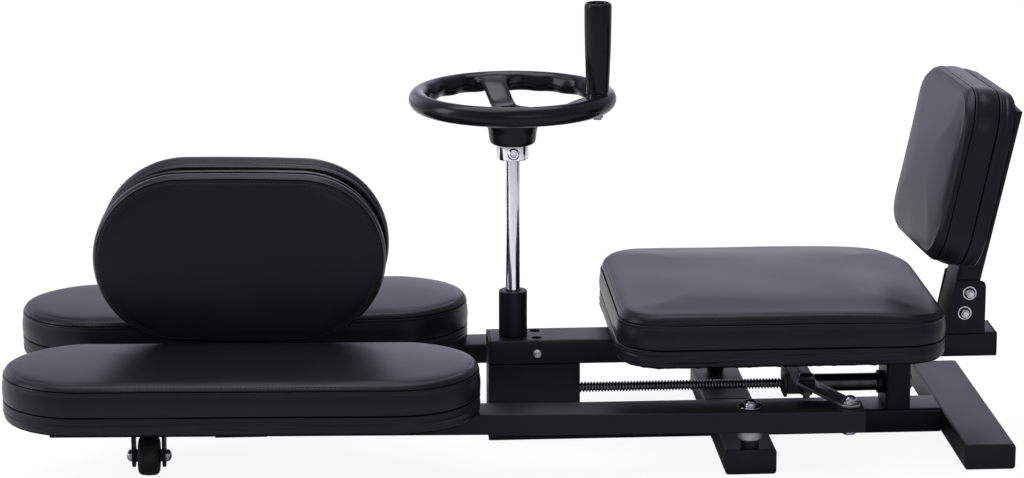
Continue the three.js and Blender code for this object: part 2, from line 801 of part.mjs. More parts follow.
function makeCaster() {
  const axleHeight = casterWheelRadius;
  const place = (geometry) => onLeftArm(moved(geometry, -casterFromPivot, 0, 0));
  const outer = casterPlateInner + casterPlateThick;
  const tall = 2 * (armBottom - casterPlateBottom);
  const outline = roundedOutline(tall, 2 * casterPlateHalf, casterPlateHalf, cornerSteps);
  const plateShape = cut(
    layAlongX(prism(outline, -outer, outer), armBottom),
    box(-casterPlateInner, casterPlateInner, -armWide, armWide, -armWide, armBottom - casterPlateThick),
    box(-armWide, armWide, -armWide, armWide, armBottom, armBottom + tall),
  );
  const hole = moved(turnedToX(rod(casterAxleRadius + fitGap, -armWide, armWide)), 0, 0, axleHeight);
  addPair('caster_fork', () => place(cut(plateShape, hole)), 'powder');

  const wheelHalf = casterWheelWide / 2;
  const tyre = turned([
    [0, -wheelHalf],
    [casterWheelRadius - casterTyreRound, -wheelHalf],
    [casterWheelRadius, -wheelHalf + casterTyreRound],
    [casterWheelRadius, wheelHalf - casterTyreRound],
    [casterWheelRadius - casterTyreRound, wheelHalf],
    [0, wheelHalf],
  ], roundSteps);
  const wheel = cut(tyre, rod(casterAxleRadius + fitGap, -casterWheelWide, casterWheelWide));
  addPair('caster_wheel', () => place(moved(turnedToX(wheel), 0, 0, axleHeight)), 'rubber');

  const tail = outer + casterHeadHigh;
  const spacerIn = wheelHalf + fitGap;
  const axle = turned([
    [0, -tail],
    [casterHeadRadius / 2, -tail],
    [casterHeadRadius, -outer - casterHeadHigh / 3],
    [casterHeadRadius, -outer],
    [casterAxleRadius, -outer],
    [casterAxleRadius, -casterPlateInner],
    [casterSpacer, -casterPlateInner],
    [casterSpacer, -spacerIn],
    [casterAxleRadius, -spacerIn],
    [casterAxleRadius, spacerIn],
    [casterSpacer, spacerIn],
    [casterSpacer, casterPlateInner],
    [casterAxleRadius, casterPlateInner],
    [casterAxleRadius, outer],
    [casterHeadRadius, outer],
    [casterHeadRadius, outer + casterHeadHigh / 3],
    [casterHeadRadius / 2, tail],
    [0, tail],
  ]);
  addPair('caster_axle', () => place(moved(turnedToX(axle), 0, 0, axleHeight)), 'steel');
}

// Cushion with drawn-in lower edge, slightly bulged sides and a crowned top, standing on z = 0
function cushion(long, wide, corner, side, crown) {
  const ringAt = (inset, z) => {
    const round = Math.max(corner - inset, corner * crownCornerShare);
    const outline = roundedOutline(long - 2 * inset, wide - 2 * inset, round, cushionCorner);
    return outline.map((p) => new THREE.Vector3(p.x, p.y, z));
  };
  const reach = Math.min(wide, long) / 2;
  const rings = sideShares.map(([share, rise]) => ringAt(share * cushionDraw, rise * side));
  const edge = sideShares[sideShares.length - 1][0] * cushionDraw;
  crownShares.forEach(([share, rise]) => {
    rings.push(ringAt(edge + share * (reach - edge), side + rise * crown));
  });
  return skin(rings);
}

function makeSeat() {
  const form = cushion(seatRear - seatFront, 2 * seatHalf, seatCorner, seatSide, seatCrown);
  const level = mainBottom + tubeHigh;
  addPiece('seat_cushion', moved(form, (seatFront + seatRear) / 2, 0, level), 'leather');
}

function makeLegPads() {
  const form = cushion(legPadLong, legPadWide, legPadWide / 2, legPadSide, legPadCrown);
  const level = armBottom + armHigh;
  addPair('leg_pad', () => onLeftArm(moved(form, -legPadFromPivot, -legPadOutward, level)), 'leather');
}

// Upright cushion between the legs, with its strap from below the arm
function makeInnerPads() {
  const back = bracketMiddleGap + bracketThick;
  const form = cushion(innerPadLong, innerPadHigh, innerPadHigh / 2, innerPadSide, innerPadCrown);
  const standing = moved(form.rotateX(Math.PI / 2), innerPadCentreX, -back, innerPadCentreZ);
  addPair('inner_pad', () => standing, 'leather');

  const x0 = innerPadCentreX - bracketWide / 2;
  const x1 = innerPadCentreX + bracketWide / 2;
  const low = armBottom - bracketThick;
  const outerEnd = pivotY + armWide / 4 + innerPadCentreX * Math.tan(radians(toeIn));
  const level = box(x0, x1, -outerEnd, -bracketMiddleGap, low, armBottom);
  const rise = box(x0, x1, -back, -bracketMiddleGap, low, bracketRise);
  addPair('inner_pad_bracket', () => union(level, rise), 'powder');
}

// Moves a piece made upright along z, with its rear face at x = 0, onto the leaning back post
function onBackPost(geometry) {
  return geometry.clone().translate(postRearAtOrigin, 0, 0).rotateY(radians(backTilt));
}

function makeBackrest() {
  const base = mainBottom + tubeHigh;
  const webTop = base + saddlePlate;
  const wide = tubeWide / 2 + fitGap;
  const outer = wide + saddlePlate;
  const side = [
    [saddleFront, base],
    [saddleRear, base],
    [saddleRear, saddleTop - tubeCorner * 2],
    [saddleRear - tubeCorner, saddleTop - tubeCorner / 2],
    [saddleRear - tubeCorner * 2, saddleTop],
    [saddleTopFront, saddleTop],
  ].map(([x, z]) => new THREE.Vector2(x, -z));
  const slab = prism(side.reverse(), -outer, outer).rotateX(-Math.PI / 2);
  const clear = box(saddleFront - tubeWide, saddleRear + tubeWide, -wide, wide, webTop, saddleTop + tubeWide);
  const bolts = [[upperBoltX, upperBoltZ], [lowerBoltX, lowerBoltZ]];
  const hole = turnedToMinusY(rod(backBoltRadius + fitGap, -tubeWide, tubeWide));
  const holes = bolts.map(([x, z]) => moved(hole, x, 0, z));
  addPiece('back_bracket', cut(slab, clear, ...holes), 'powder');

  const postTop = uprightTop - capThick;
  const postTube = moved(tube(tubeHigh, tubeWide, tubeWall, tubeCorner, 0, postTop), -tubeHigh / 2, 0, 0);
  const below = box(-tubeWide, 2 * saddleRear, -tubeWide, tubeWide, -saddleTop, webTop + fitGap);
  addPiece('back_upright', cut(onBackPost(postTube), below, ...holes), 'powder');
  const cap = moved(tubeCap(tubeHigh, tubeWide, tubeWall, tubeCorner, postTop), -tubeHigh / 2, 0, 0);
  addPiece('back_upright_cap', onBackPost(cap), 'cap');

  const bolt = turned([
    [0, -outer - backBoltHeadHigh],
    [backBoltHead, -outer - backBoltHeadHigh],
    [backBoltHead, -outer],
    [backBoltRadius, -outer],
    [backBoltRadius, outer],
    [backBoltHead, outer],
    [backBoltHead, outer + backBoltHeadHigh],
    [backBoltRadius, outer + backBoltHeadHigh],
    [backBoltRadius, outer + backBoltHeadHigh + backBoltTail],
    [0, outer + backBoltHeadHigh + backBoltTail],
  ]);
  addPiece('back_bolt_upper', moved(turnedToMinusY(bolt), upperBoltX, 0, upperBoltZ), 'steel');
  addPiece('back_bolt_lower', moved(turnedToMinusY(bolt), lowerBoltX, 0, lowerBoltZ), 'steel');

  const form = cushion(backHigh - backLow, 2 * backHalf, backCorner, backSide, backCrown);
  const standing = moved(form.rotateY(-Math.PI / 2), -tubeHigh - slideGap, 0, (backHigh + backLow) / 2);
  addPiece('back_cushion', onBackPost(standing), 'leather');
}

makeBase();
makeMainTube();
makeGearbox();
makeHandwheel();
makeShaft();
makeGears();
makeLeadScrew();
makeCarriage();
addPair('arm', makeArm, 'powder');
makePivot();
makeLinks();
makeCaster();
makeLegPads();
makeInnerPads();
makeSeat();
makeBackrest();

// Origin at the middle of the footprint, on the floor
const extent = new THREE.Box3().setFromObject(group);
const centre = extent.getCenter(new THREE.Vector3());
group.children.forEach((mesh) => mesh.geometry.translate(-centre.x, -centre.y, -extent.min.z));

export default group;
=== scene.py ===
import json
import math

import bpy
import numpy as np
from mathutils import Matrix


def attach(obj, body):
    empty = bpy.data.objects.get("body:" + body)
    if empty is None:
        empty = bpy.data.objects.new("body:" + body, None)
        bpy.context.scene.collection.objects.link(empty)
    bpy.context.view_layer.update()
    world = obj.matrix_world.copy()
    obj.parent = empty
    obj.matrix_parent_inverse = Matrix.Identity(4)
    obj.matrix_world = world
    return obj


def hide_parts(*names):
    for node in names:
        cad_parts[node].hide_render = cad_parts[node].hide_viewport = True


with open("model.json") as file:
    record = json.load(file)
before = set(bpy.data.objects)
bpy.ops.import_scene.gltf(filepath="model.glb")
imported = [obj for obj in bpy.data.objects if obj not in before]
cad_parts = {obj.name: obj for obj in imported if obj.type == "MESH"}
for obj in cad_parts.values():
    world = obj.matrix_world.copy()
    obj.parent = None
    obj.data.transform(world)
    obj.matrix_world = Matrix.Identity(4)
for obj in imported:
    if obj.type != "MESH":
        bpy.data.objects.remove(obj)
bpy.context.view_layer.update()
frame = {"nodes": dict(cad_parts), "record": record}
print("frame loaded,", len(frame["nodes"]), "nodes")

scene = bpy.context.scene
mm = 0.001
tiny = 1e-9
axis = 0.02                # a turned solid starts and ends this near to its axis, with a flat face there
pivotX = 260.9215          # the middle foot's centre line, from the origin
toeIn = math.radians(2.6)
chance = np.random.default_rng(7)

camera = {
    "place": (-235.1, -3773.1, 1171.6),
    "yaw": 0.0605,
    "pitch": 0.2409,
    "roll": -0.0021,
    "focal": 3253.8,       # in pixels of the picture
    "pictureWide": 1024,
    "sensor": 36,
    "reach": 50,           # in metres
}


def makeCamera():
    # Ahead is (sin yaw cos pitch, cos yaw cos pitch, -sin pitch); right and up are then rolled about it
    yaw, pitch, roll = camera["yaw"], camera["pitch"], camera["roll"]
    ahead = np.array([math.sin(yaw) * math.cos(pitch), math.cos(yaw) * math.cos(pitch), -math.sin(pitch)])
    level = np.array([math.cos(yaw), -math.sin(yaw), 0.0])
    above = np.cross(level, ahead)
    right = math.cos(roll) * level + math.sin(roll) * above
    up = -math.sin(roll) * level + math.cos(roll) * above
    lens = bpy.data.cameras.new("camera")
    lens.sensor_fit = "HORIZONTAL"
    lens.sensor_width = camera["sensor"]
    lens.lens = camera["focal"] / camera["pictureWide"] * camera["sensor"]
    lens.clip_end = camera["reach"]
    holder = bpy.data.objects.new("camera", lens)
    turn = Matrix([[right[i], up[i], -ahead[i]] for i in range(3)]).to_4x4()
    holder.matrix_world = Matrix.Translation([v * mm for v in camera["place"]]) @ turn
    scene.collection.objects.link(holder)
    scene.camera = holder


makeCamera()


class Value:
    # A socket; sums and products on it add Math nodes to its finish
    def __init__(self, finish, socket):
        self.finish = finish
        self.socket = socket

    def maths(self, operation, other):
        made = self.finish.node("ShaderNodeMath", {"operation": operation}, {0: self, 1: other})
        return Value(self.finish, made.outputs[0])

    def __add__(self, other):
        return self.maths("ADD", other)

    def __mul__(self, other):
        return self.maths("MULTIPLY", other)

    __radd__ = __add__
    __rmul__ = __mul__


def addNode(tree, kind, settings=None, inputs=None):
    # A node with its settings; an input is a plain value, a socket or a Value
    made = tree.nodes.new(kind)
    for key, value in (settings or {}).items():
        setattr(made, key, value)
    for key, value in (inputs or {}).items():
        feed(tree, made.inputs[key], value)
    return made


def feed(tree, socket, value):
    if isinstance(value, Value):
        value = value.socket
    if isinstance(value, bpy.types.NodeSocket):
        tree.links.new(value, socket)
    else:
        socket.default_value = value


def spread(tree, value, low, high, start=0.0, end=1.0, smooth=False):
    # From start where the value is low to end where it is high, and level beyond both
    settings = {"interpolation_type": "SMOOTHSTEP"} if smooth else {}
    made = addNode(tree, "ShaderNodeMapRange", settings, {
        "Value": value, "From Min": low, "From Max": high, "To Min": start, "To Max": end})
    return made.outputs["Result"]


class Finish:
    # A material: one shader, fed by noise in the object's own coordinates
    def __init__(self, name, colour, roughness, metallic=0.0):
        self.material = bpy.data.materials.new(name)
        self.material.use_nodes = True
        self.tree = self.material.node_tree
        self.tree.nodes.clear()
        self.shader = self.node("ShaderNodeBsdfPrincipled", {}, {
            "Base Color": (*colour, 1), "Roughness": roughness, "Metallic": metallic})
        self.out = self.node("ShaderNodeOutputMaterial", {}, {"Surface": self.shader.outputs["BSDF"]})
        self.place = self.node("ShaderNodeTexCoord").outputs["Object"]

    def node(self, kind, settings=None, inputs=None):
        return addNode(self.tree, kind, settings, inputs)

    def noise(self, scale, detail=2.0, roughness=0.5):
        made = self.node("ShaderNodeTexNoise", {}, {
            "Vector": self.place, "Scale": scale, "Detail": detail, "Roughness": roughness})
        return Value(self, made.outputs["Fac"])

    def cells(self, scale):
        made = self.node("ShaderNodeTexVoronoi", {}, {"Vector": self.place, "Scale": scale})
        return Value(self, made.outputs["Distance"])

    def colour(self, value, dark, light, low, high):
        # Dark up to the low value, light from the high one
        ramp = self.node("ShaderNodeValToRGB", {}, {"Fac": value})
        for element, position, tint in zip(ramp.color_ramp.elements, (low, high), (dark, light)):
            element.position = position
            element.color = (*tint, 1)
        feed(self.tree, self.shader.inputs["Base Color"], ramp.outputs["Color"])

    def roughness(self, value):
        feed(self.tree, self.shader.inputs["Roughness"], value)

    def sheen(self, level, tint):
        # How strongly the surface mirrors what stands before it, and in what colour
        self.shader.inputs["Specular IOR Level"].default_value = level
        self.shader.inputs["Specular Tint"].default_value = (*tint, 1)

    def bump(self, height, strength, distance):
        made = self.node("ShaderNodeBump", {}, {"Height": height, "Strength": strength, "Distance": distance})
        feed(self.tree, self.shader.inputs["Normal"], made.outputs["Normal"])


looks = {
    "black_leatherette": {
        "name": "leatherette", "dark": (0.0052, 0.005, 0.0066), "light": (0.0074, 0.0071, 0.0092),
        "patches": (9, 3), "grain": (2300, 2), "roughness": (0.26, 0.1, 0.08),
        "pebbles": 620, "bump": (0.42, 0.0002), "sheen": (0.14, (1.0, 0.96, 1.2)),
    },
    "black_powder_coat": {
        "name": "powderCoat", "dark": (0.0052, 0.005, 0.0062), "light": (0.0074, 0.0071, 0.0088),
        "patches": (14, 2), "grain": (650, 3, 0.55), "roughness": (0.34, 0.1, 0.06),
        "blend": (0.25, 0.75), "bump": (0.22, 0.0002), "sheen": (0.14, (1.0, 0.96, 1.2)),
    },
    "black_end_cap": {
        "name": "endPlastic", "dark": (0.0052, 0.005, 0.006), "light": (0.0078, 0.0076, 0.009),
        "patches": (30, 2), "grain": (1500, 3), "roughness": (0.46, 0, 0.12),
        "bump": (0.2, 0.00015), "sheen": (0.14, (1.0, 0.97, 1.12)),
    },
    "black_gloss_plastic": {
        "name": "glossPlastic", "dark": (0.005, 0.005, 0.0058), "light": (0.0075, 0.0074, 0.0086),
        "patches": (16, 2), "grain": (90, 2), "roughness": (0.15, 0.08, 0),
        "bump": (0.05, 0.0003), "sheen": (0.14, (1.0, 0.98, 1.08)),
    },
    "chrome": {
        "name": "chrome", "metal": 1, "dark": (0.67, 0.68, 0.75), "light": (0.77, 0.78, 0.84),
        "patches": (40, 3), "roughness": (0.06, 0.08, 0),
    },
    "dark_chrome": {
        "name": "darkChrome", "metal": 1, "dark": (0.18, 0.185, 0.21), "light": (0.3, 0.305, 0.34),
        "patches": (90, 3), "roughness": (0.1, 0.12, 0),
    },
    "zinc_steel": {
        "name": "zinc", "metal": 1, "dark": (0.42, 0.43, 0.46), "light": (0.62, 0.63, 0.67),
        "patches": (120, 3), "grain": (500, 2, 0.6), "roughness": (0.22, 0.16, 0.06), "bump": (0.08, 0.0001),
    },
    "dull_steel": {
        "name": "dullSteel", "metal": 1, "dark": (0.2, 0.205, 0.225), "light": (0.34, 0.345, 0.375),
        "patches": (60, 4, 0.6), "grain": (700, 2), "roughness": (0.3, 0.2, 0), "bump": (0.1, 0.0001),
    },
    "blackened_steel": {
        "name": "oiledSteel", "metal": 1, "dark": (0.035, 0.034, 0.036), "light": (0.075, 0.074, 0.078),
        "patches": (70, 3), "grain": (900, 2), "roughness": (0.2, 0.18, 0), "bump": (0.1, 0.0001),
    },
    "cast_iron": {
        "name": "casting", "metal": 1, "dark": (0.028, 0.028, 0.03), "light": (0.06, 0.06, 0.064),
        "patches": (80, 3), "grain": (1100, 3, 0.6), "roughness": (0.4, 0, 0.2), "bump": (0.3, 0.0003),
    },
    "black_rubber": {
        "name": "wheelRubber", "dark": (0.007, 0.007, 0.0078), "light": (0.014, 0.014, 0.0148),
        "patches": (90, 3), "grain": (1200, 2), "roughness": (0.45, 0.2, 0),
        "blend": (0.35, 0.75), "bump": (0.2, 0.0002), "sheen": (0.2, (1, 1, 1)),
    },
    "thread": {
        "name": "blackThread", "dark": (0.008, 0.0078, 0.0104), "light": (0.017, 0.0163, 0.021),
        "patches": (2500, 2), "roughness": (0.4, 0.2, 0), "sheen": (0.25, (1.0, 0.97, 1.12)),
    },
    "board": {
        "name": "boardCloth", "dark": (0.005, 0.005, 0.0058), "light": (0.01, 0.01, 0.011),
        "patches": (1800, 2), "roughness": (0.75, 0.2, 0), "bump": (0.3, 0.0002), "sheen": (0.14, (1, 1, 1)),
    },
    "seam_shade": {        # the bottom of a sewn seam, where no light gets out again
        "name": "seamShade", "dark": (0.0012, 0.0012, 0.0015), "light": (0.003, 0.003, 0.0036),
        "patches": (900, 2), "roughness": (0.8, 0.15, 0), "sheen": (0.03, (1, 1, 1)),
    },
}


def makeFinish(look):
    # Patches blend the dark and the light colour; the roughness is a plain value plus shares of patches and
    # grain, and the grain, under leatherette's pebbles, makes the bumps (strength, depth in metres)
    plainly, byPatches, byGrain = look["roughness"]
    finish = Finish(look["name"], look["light"], plainly, look.get("metal", 0))
    patches = finish.noise(*look["patches"])
    grain = finish.noise(*look["grain"]) if "grain" in look else patches
    finish.colour(patches, look["dark"], look["light"], *look.get("blend", (0.3, 0.7)))
    finish.roughness(plainly + byPatches * patches + byGrain * grain)
    if "bump" in look:
        height = finish.cells(look["pebbles"]) * 0.7 + grain * 0.3 if "pebbles" in look else grain
        finish.bump(height, *look["bump"])
    if "sheen" in look:
        finish.sheen(*look["sheen"])
    return finish.material


finishes = {slot: makeFinish(look) for slot, look in looks.items()}
slotOf = {entry["node"]: entry["material_slot"] for entry in frame["record"]["subparts"]}

for name, node in frame["nodes"].items():
    node.data.materials.clear()
    node.data.materials.append(finishes[slotOf[name]])
print("finishes made")


def gridFaces(rows, columns, closedColumns=True, closedRows=False):
    # Quads between neighbouring rows and columns of a grid: point (r, c) is number r times columns plus c
    r = np.arange(rows if closedRows else rows - 1)[:, None]
    c = np.arange(columns if closedColumns else columns - 1)[None, :]
    r2, c2 = (r + 1) % rows, (c + 1) % columns
    quads = np.stack([r * columns + c, r * columns + c2, r2 * columns + c2, r2 * columns + c], axis=-1)
    return quads.reshape(-1, 4)


def volume(points, faceSets):
    # Six times the volume: each fan triangle's first corner dotted with the cross product of the other two
    total = 0.0
    for faces in faceSets:
        first = points[faces[:, 0]]
        for k in range(1, faces.shape[1] - 1):
            total += np.einsum("ij,ij->", first, np.cross(points[faces[:, k]], points[faces[:, k + 1]]))
    return total


class Shape:
    # Points and faces of a piece, in mm from the middle foot's centre line, gathered part by part
    def __init__(self):
        self.points = np.zeros((0, 3))
        self.faceSets = []
        self.kinds = []

    def add(self, points, faceSets, kind=0):
        # Takes in a closed skin, and turns its faces outward if its volume comes out negative
        points = np.asarray(points, float).reshape(-1, 3)
        centred = points - points.mean(axis=0)
        if volume(centred, faceSets) < 0:
            faceSets = [faces[:, ::-1] for faces in faceSets]
        start = len(self.points)
        self.points = np.concatenate([self.points, points])
        for faces in faceSets:
            self.faceSets.append(faces + start)
            self.kinds.append(np.full(len(faces), kind))
        return self

    def rings(self, rings, closedLoop=False, kind=0):
        # Skin over rings of points; each open end gets one flat face
        rings = np.asarray(rings, float)
        rows, columns = rings.shape[:2]
        sets = [gridFaces(rows, columns, closedRows=closedLoop)]
        if not closedLoop:
            sets.append(np.arange(columns)[::-1][None, :])
            sets.append((np.arange(columns) + (rows - 1) * columns)[None, :])
        return self.add(rings, sets, kind)

    def mirrored(self):
        # The same shape with y turned to -y
        twin = Shape()
        twin.points = self.points * (1, -1, 1)
        twin.faceSets = [faces[:, ::-1] for faces in self.faceSets]
        twin.kinds = list(self.kinds)
        return twin

    def make(self, name, materials, body, node=None, slot=None, smooth=40):
        # The finished piece; smooth is the angle in degrees above which an edge stays sharp
        mesh = bpy.data.meshes.new(name)
        names = [materials] if isinstance(materials, str) else materials
        points = (self.points + (pivotX, 0, 0)) * mm
        mesh.vertices.add(len(points))
        mesh.vertices.foreach_set("co", points.astype(np.float32).ravel())
        corners = np.concatenate([faces.ravel() for faces in self.faceSets])
        sizes = np.concatenate([np.full(len(faces), faces.shape[1]) for faces in self.faceSets])
        mesh.loops.add(len(corners))
        mesh.loops.foreach_set("vertex_index", corners.astype(np.int32))
        mesh.polygons.add(len(sizes))
        mesh.polygons.foreach_set("loop_start", (np.cumsum(sizes) - sizes).astype(np.int32))
        mesh.polygons.foreach_set("material_index", np.concatenate(self.kinds).astype(np.int32))
        mesh.update(calc_edges=True)
        mesh.validate()
        mesh.shade_smooth()
        mesh.set_sharp_from_angle(angle=math.radians(smooth))
        for material in names:
            mesh.materials.append(finishes[material])
        piece = bpy.data.objects.new(name, mesh)
        scene.collection.objects.link(piece)
        if node:
            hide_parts(node)
        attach(piece, body)
        return piece


def soften(profile, reach, steps=4):
    # Each corner of an open profile becomes a quadratic curve, (1-t)^2 a + 2t(1-t) corner + t^2 b, whose ends
    # a and b lie on the two legs, at most reach and 0.45 of the leg away
    profile = np.asarray(profile, float)
    out = [profile[:1]]
    t = np.linspace(0, 1, steps + 1)[:, None]
    for before, corner, after in zip(profile[:-2], profile[1:-1], profile[2:]):
        one, two = before - corner, after - corner
        first, second = np.linalg.norm(one[:2]), np.linalg.norm(two[:2])
        a = corner + one * min(reach, first * 0.45) / max(first, tiny)
        b = corner + two * min(reach, second * 0.45) / max(second, tiny)
        out.append((1 - t) ** 2 * a + 2 * t * (1 - t) * corner + t ** 2 * b)
    out.append(profile[-1:])
    return np.concatenate(out)


def turnedRings(profile, steps=48):
    # Profile of [radius, height, hexagon share] carried round z: radius times (cos, sin) of the angle. With a
    # share of 1 the ring is six-sided: radius times cos 30 over the cosine of the angle from a flat's middle
    profile = np.asarray(profile, float)
    if profile.shape[1] == 2:
        profile = np.column_stack([profile, np.zeros(len(profile))])
    angle = np.arange(steps) / steps * 2 * math.pi
    wedge = np.mod(angle, math.pi / 3) - math.pi / 6
    six = math.cos(math.pi / 6) / np.cos(wedge)
    radius = profile[:, 0, None] * (1 + profile[:, 2, None] * (six[None, :] - 1))
    height = np.broadcast_to(profile[:, 1, None], radius.shape)
    return np.stack([radius * np.cos(angle), radius * np.sin(angle), height], axis=-1)


def turned(profile, reach, steps=48, curve=4):
    # A profile with softened corners, carried round z
    return turnedRings(soften(profile, reach, curve), steps)


def rod(radius, low, high):
    # Profile of a plain bar
    return [[axis, low], [radius, low], [radius, high], [axis, high]]


def bushing(inner, outer, low, high, start=1):
    # Profile of a ring that is closed on its inside, a little above its lower edge
    return [[inner, low], [outer, low], [outer, high], [inner, high], [inner, low + start]]


def toX(points):
    # What was made along z is laid along x: (x, y, z) becomes (z, y, -x)
    return np.stack([points[..., 2], points[..., 1], -points[..., 0]], axis=-1)


def toY(points):
    # Laid along y: (x, z, -y)
    return np.stack([points[..., 0], points[..., 2], -points[..., 1]], axis=-1)


def toMinusY(points):
    # Laid along -y: (x, -z, y)
    return np.stack([points[..., 0], -points[..., 2], points[..., 1]], axis=-1)


def turnZ(points, angle):
    # Turned about z: (x cos - y sin, x sin + y cos, z)
    c, s = math.cos(angle), math.sin(angle)
    x, y, z = points[..., 0], points[..., 1], points[..., 2]
    return np.stack([x * c - y * s, x * s + y * c, z], axis=-1)


def roundedOutline(long, wide, corner, steps=6):
    # Rounded rectangle: round each corner's centre, the corner's radius times (cos, sin) over a quarter turn
    quarter = np.arange(4)[:, None]
    angle = (quarter + np.linspace(0, 1, steps + 1)[None, :]) * math.pi / 2
    signX = np.array([1, -1, -1, 1])[:, None]
    signY = np.array([1, 1, -1, -1])[:, None]
    x = signX * (long / 2 - corner) + corner * np.cos(angle)
    y = signY * (wide / 2 - corner) + corner * np.sin(angle)
    return np.stack([x.ravel(), y.ravel()], axis=-1)


def outlineNormals(outline):
    # Outward direction at each point: the line between its two neighbours, turned back by a quarter
    along = np.roll(outline, -1, axis=0) - np.roll(outline, 1, axis=0)
    along /= np.linalg.norm(along, axis=1)[:, None] + 1e-12
    return np.stack([along[:, 1], -along[:, 0]], axis=-1)


def slab(outline, low, high, bevel=0.5, steps=3):
    # Flat outline carried from one height to another. Near both faces it is drawn in by bevel times 1 - sin
    # and lifted by bevel times 1 - cos, which rounds its edges
    normals = outlineNormals(outline)
    angle = np.linspace(0, math.pi / 2, steps + 1)
    inset = bevel * (1 - np.sin(angle))
    lift = bevel * (1 - np.cos(angle))
    insets = np.concatenate([inset, inset[::-1]])
    heights = np.concatenate([low + lift, high - lift[::-1]])
    flat = outline[None] - normals[None] * insets[:, None, None]
    z = np.broadcast_to(heights[:, None, None], (*flat.shape[:2], 1))
    return np.concatenate([flat, z], axis=-1)


def hollowTube(long, wide, wall, corner, low, high, bevel=0.4):
    # Rounded box tube along z: six outlines, four up its outside with the ends drawn in, two down its inside
    outer = roundedOutline(long, wide, corner)
    inner = roundedOutline(long - 2 * wall, wide - 2 * wall, max(corner - wall, 0.6))
    normals = outlineNormals(outer)

    def ring(flat, z):
        return np.column_stack([flat, np.full(len(flat), z)])

    drawn = outer - normals * bevel
    return np.stack([
        ring(drawn, low), ring(outer, low + bevel), ring(outer, high - bevel), ring(drawn, high),
        ring(inner, high), ring(inner, low)])


print("surface tools ready")

tubes = {
    "wide": 60,
    "high": 30,
    "wall": 2.5,
    "corner": 4,
    "beamFront": -297.5,
    "beamRear": 251.5,
    "footReach": 180,
    "footCentre": 281.5,
    "postCentre": 198.8,
    "mainBottom": 94.5,
    "mainRear": 317.2,
    "cap": 3,
}


def capPlate(long, wide, corner, face, thick):
    # An end cap is a slab of the tube's own outline
    return slab(roundedOutline(long, wide, corner), face, face + thick, 0.9)


def makeFrameTubes():
    t = tubes
    wide, high, wall, corner, cap = t["wide"], t["high"], t["wall"], t["corner"], t["cap"]
    half = high / 2
    coat, plastic = "black_powder_coat", "black_end_cap"
    beam = toX(hollowTube(high, wide, wall, corner, t["beamFront"] + cap, t["beamRear"])) + (0, 0, half)
    Shape().rings(beam, True).make("lowerBeam", coat, "base", "lower_beam")
    front = toX(capPlate(high, wide, corner, t["beamFront"], cap)) + (0, 0, half)
    Shape().rings(front).make("lowerBeamCap", plastic, "base", "lower_beam_cap")

    reach = t["footReach"] - cap
    foot = toY(hollowTube(wide, high, wall, corner, -reach, -wide / 2)) + (0, 0, half)
    footShape = Shape().rings(foot, True)
    footShape.make("midFootLeft", coat, "base", "mid_foot_left")
    footShape.mirrored().make("midFootRight", coat, "base", "mid_foot_right")
    footCap = toY(capPlate(wide, high, corner, -t["footReach"], cap)) + (0, 0, half)
    capShape = Shape().rings(footCap)
    capShape.make("midFootCapLeft", plastic, "base", "mid_foot_cap_left")
    capShape.mirrored().make("midFootCapRight", plastic, "base", "mid_foot_cap_right")

    rear = toY(hollowTube(wide, high, wall, corner, -reach, reach)) + (t["footCentre"], 0, half)
    Shape().rings(rear, True).make("rearFoot", coat, "base", "rear_foot")
    rearCap = Shape().rings(footCap + (t["footCentre"], 0, 0))
    rearCap.make("rearFootCapLeft", plastic, "base", "rear_foot_cap_left")
    rearCap.mirrored().make("rearFootCapRight", plastic, "base", "rear_foot_cap_right")

    post = hollowTube(high, wide, wall, corner, high, t["mainBottom"]) + (t["postCentre"], 0, 0)
    Shape().rings(post, True).make("rearPost", coat, "base", "rear_post")


makeFrameTubes()
print("frame tubes made")

mainTube = {
    "screwX": -239.1,
    "screwZ": 108.6,
    "holeX": -239.2,
    "holeY": 16,
    "holeRadius": 6.5,
    "housingLong": 110,
    "columnX": -266.5,
    "sleeveRadius": 17,
    "sleeveTop": 180,
}


def pierce(piece, cutter):
    # Cuts one piece with a helper and removes the helper
    made = piece.modifiers.new("cut", "BOOLEAN")
    made.object = cutter
    made.solver = "EXACT"
    graph = bpy.context.evaluated_depsgraph_get()
    mesh = bpy.data.meshes.new_from_object(piece.evaluated_get(graph))
    piece.modifiers.clear()
    piece.data = mesh
    bpy.data.objects.remove(cutter)
    mesh.set_sharp_from_angle(angle=math.radians(35))


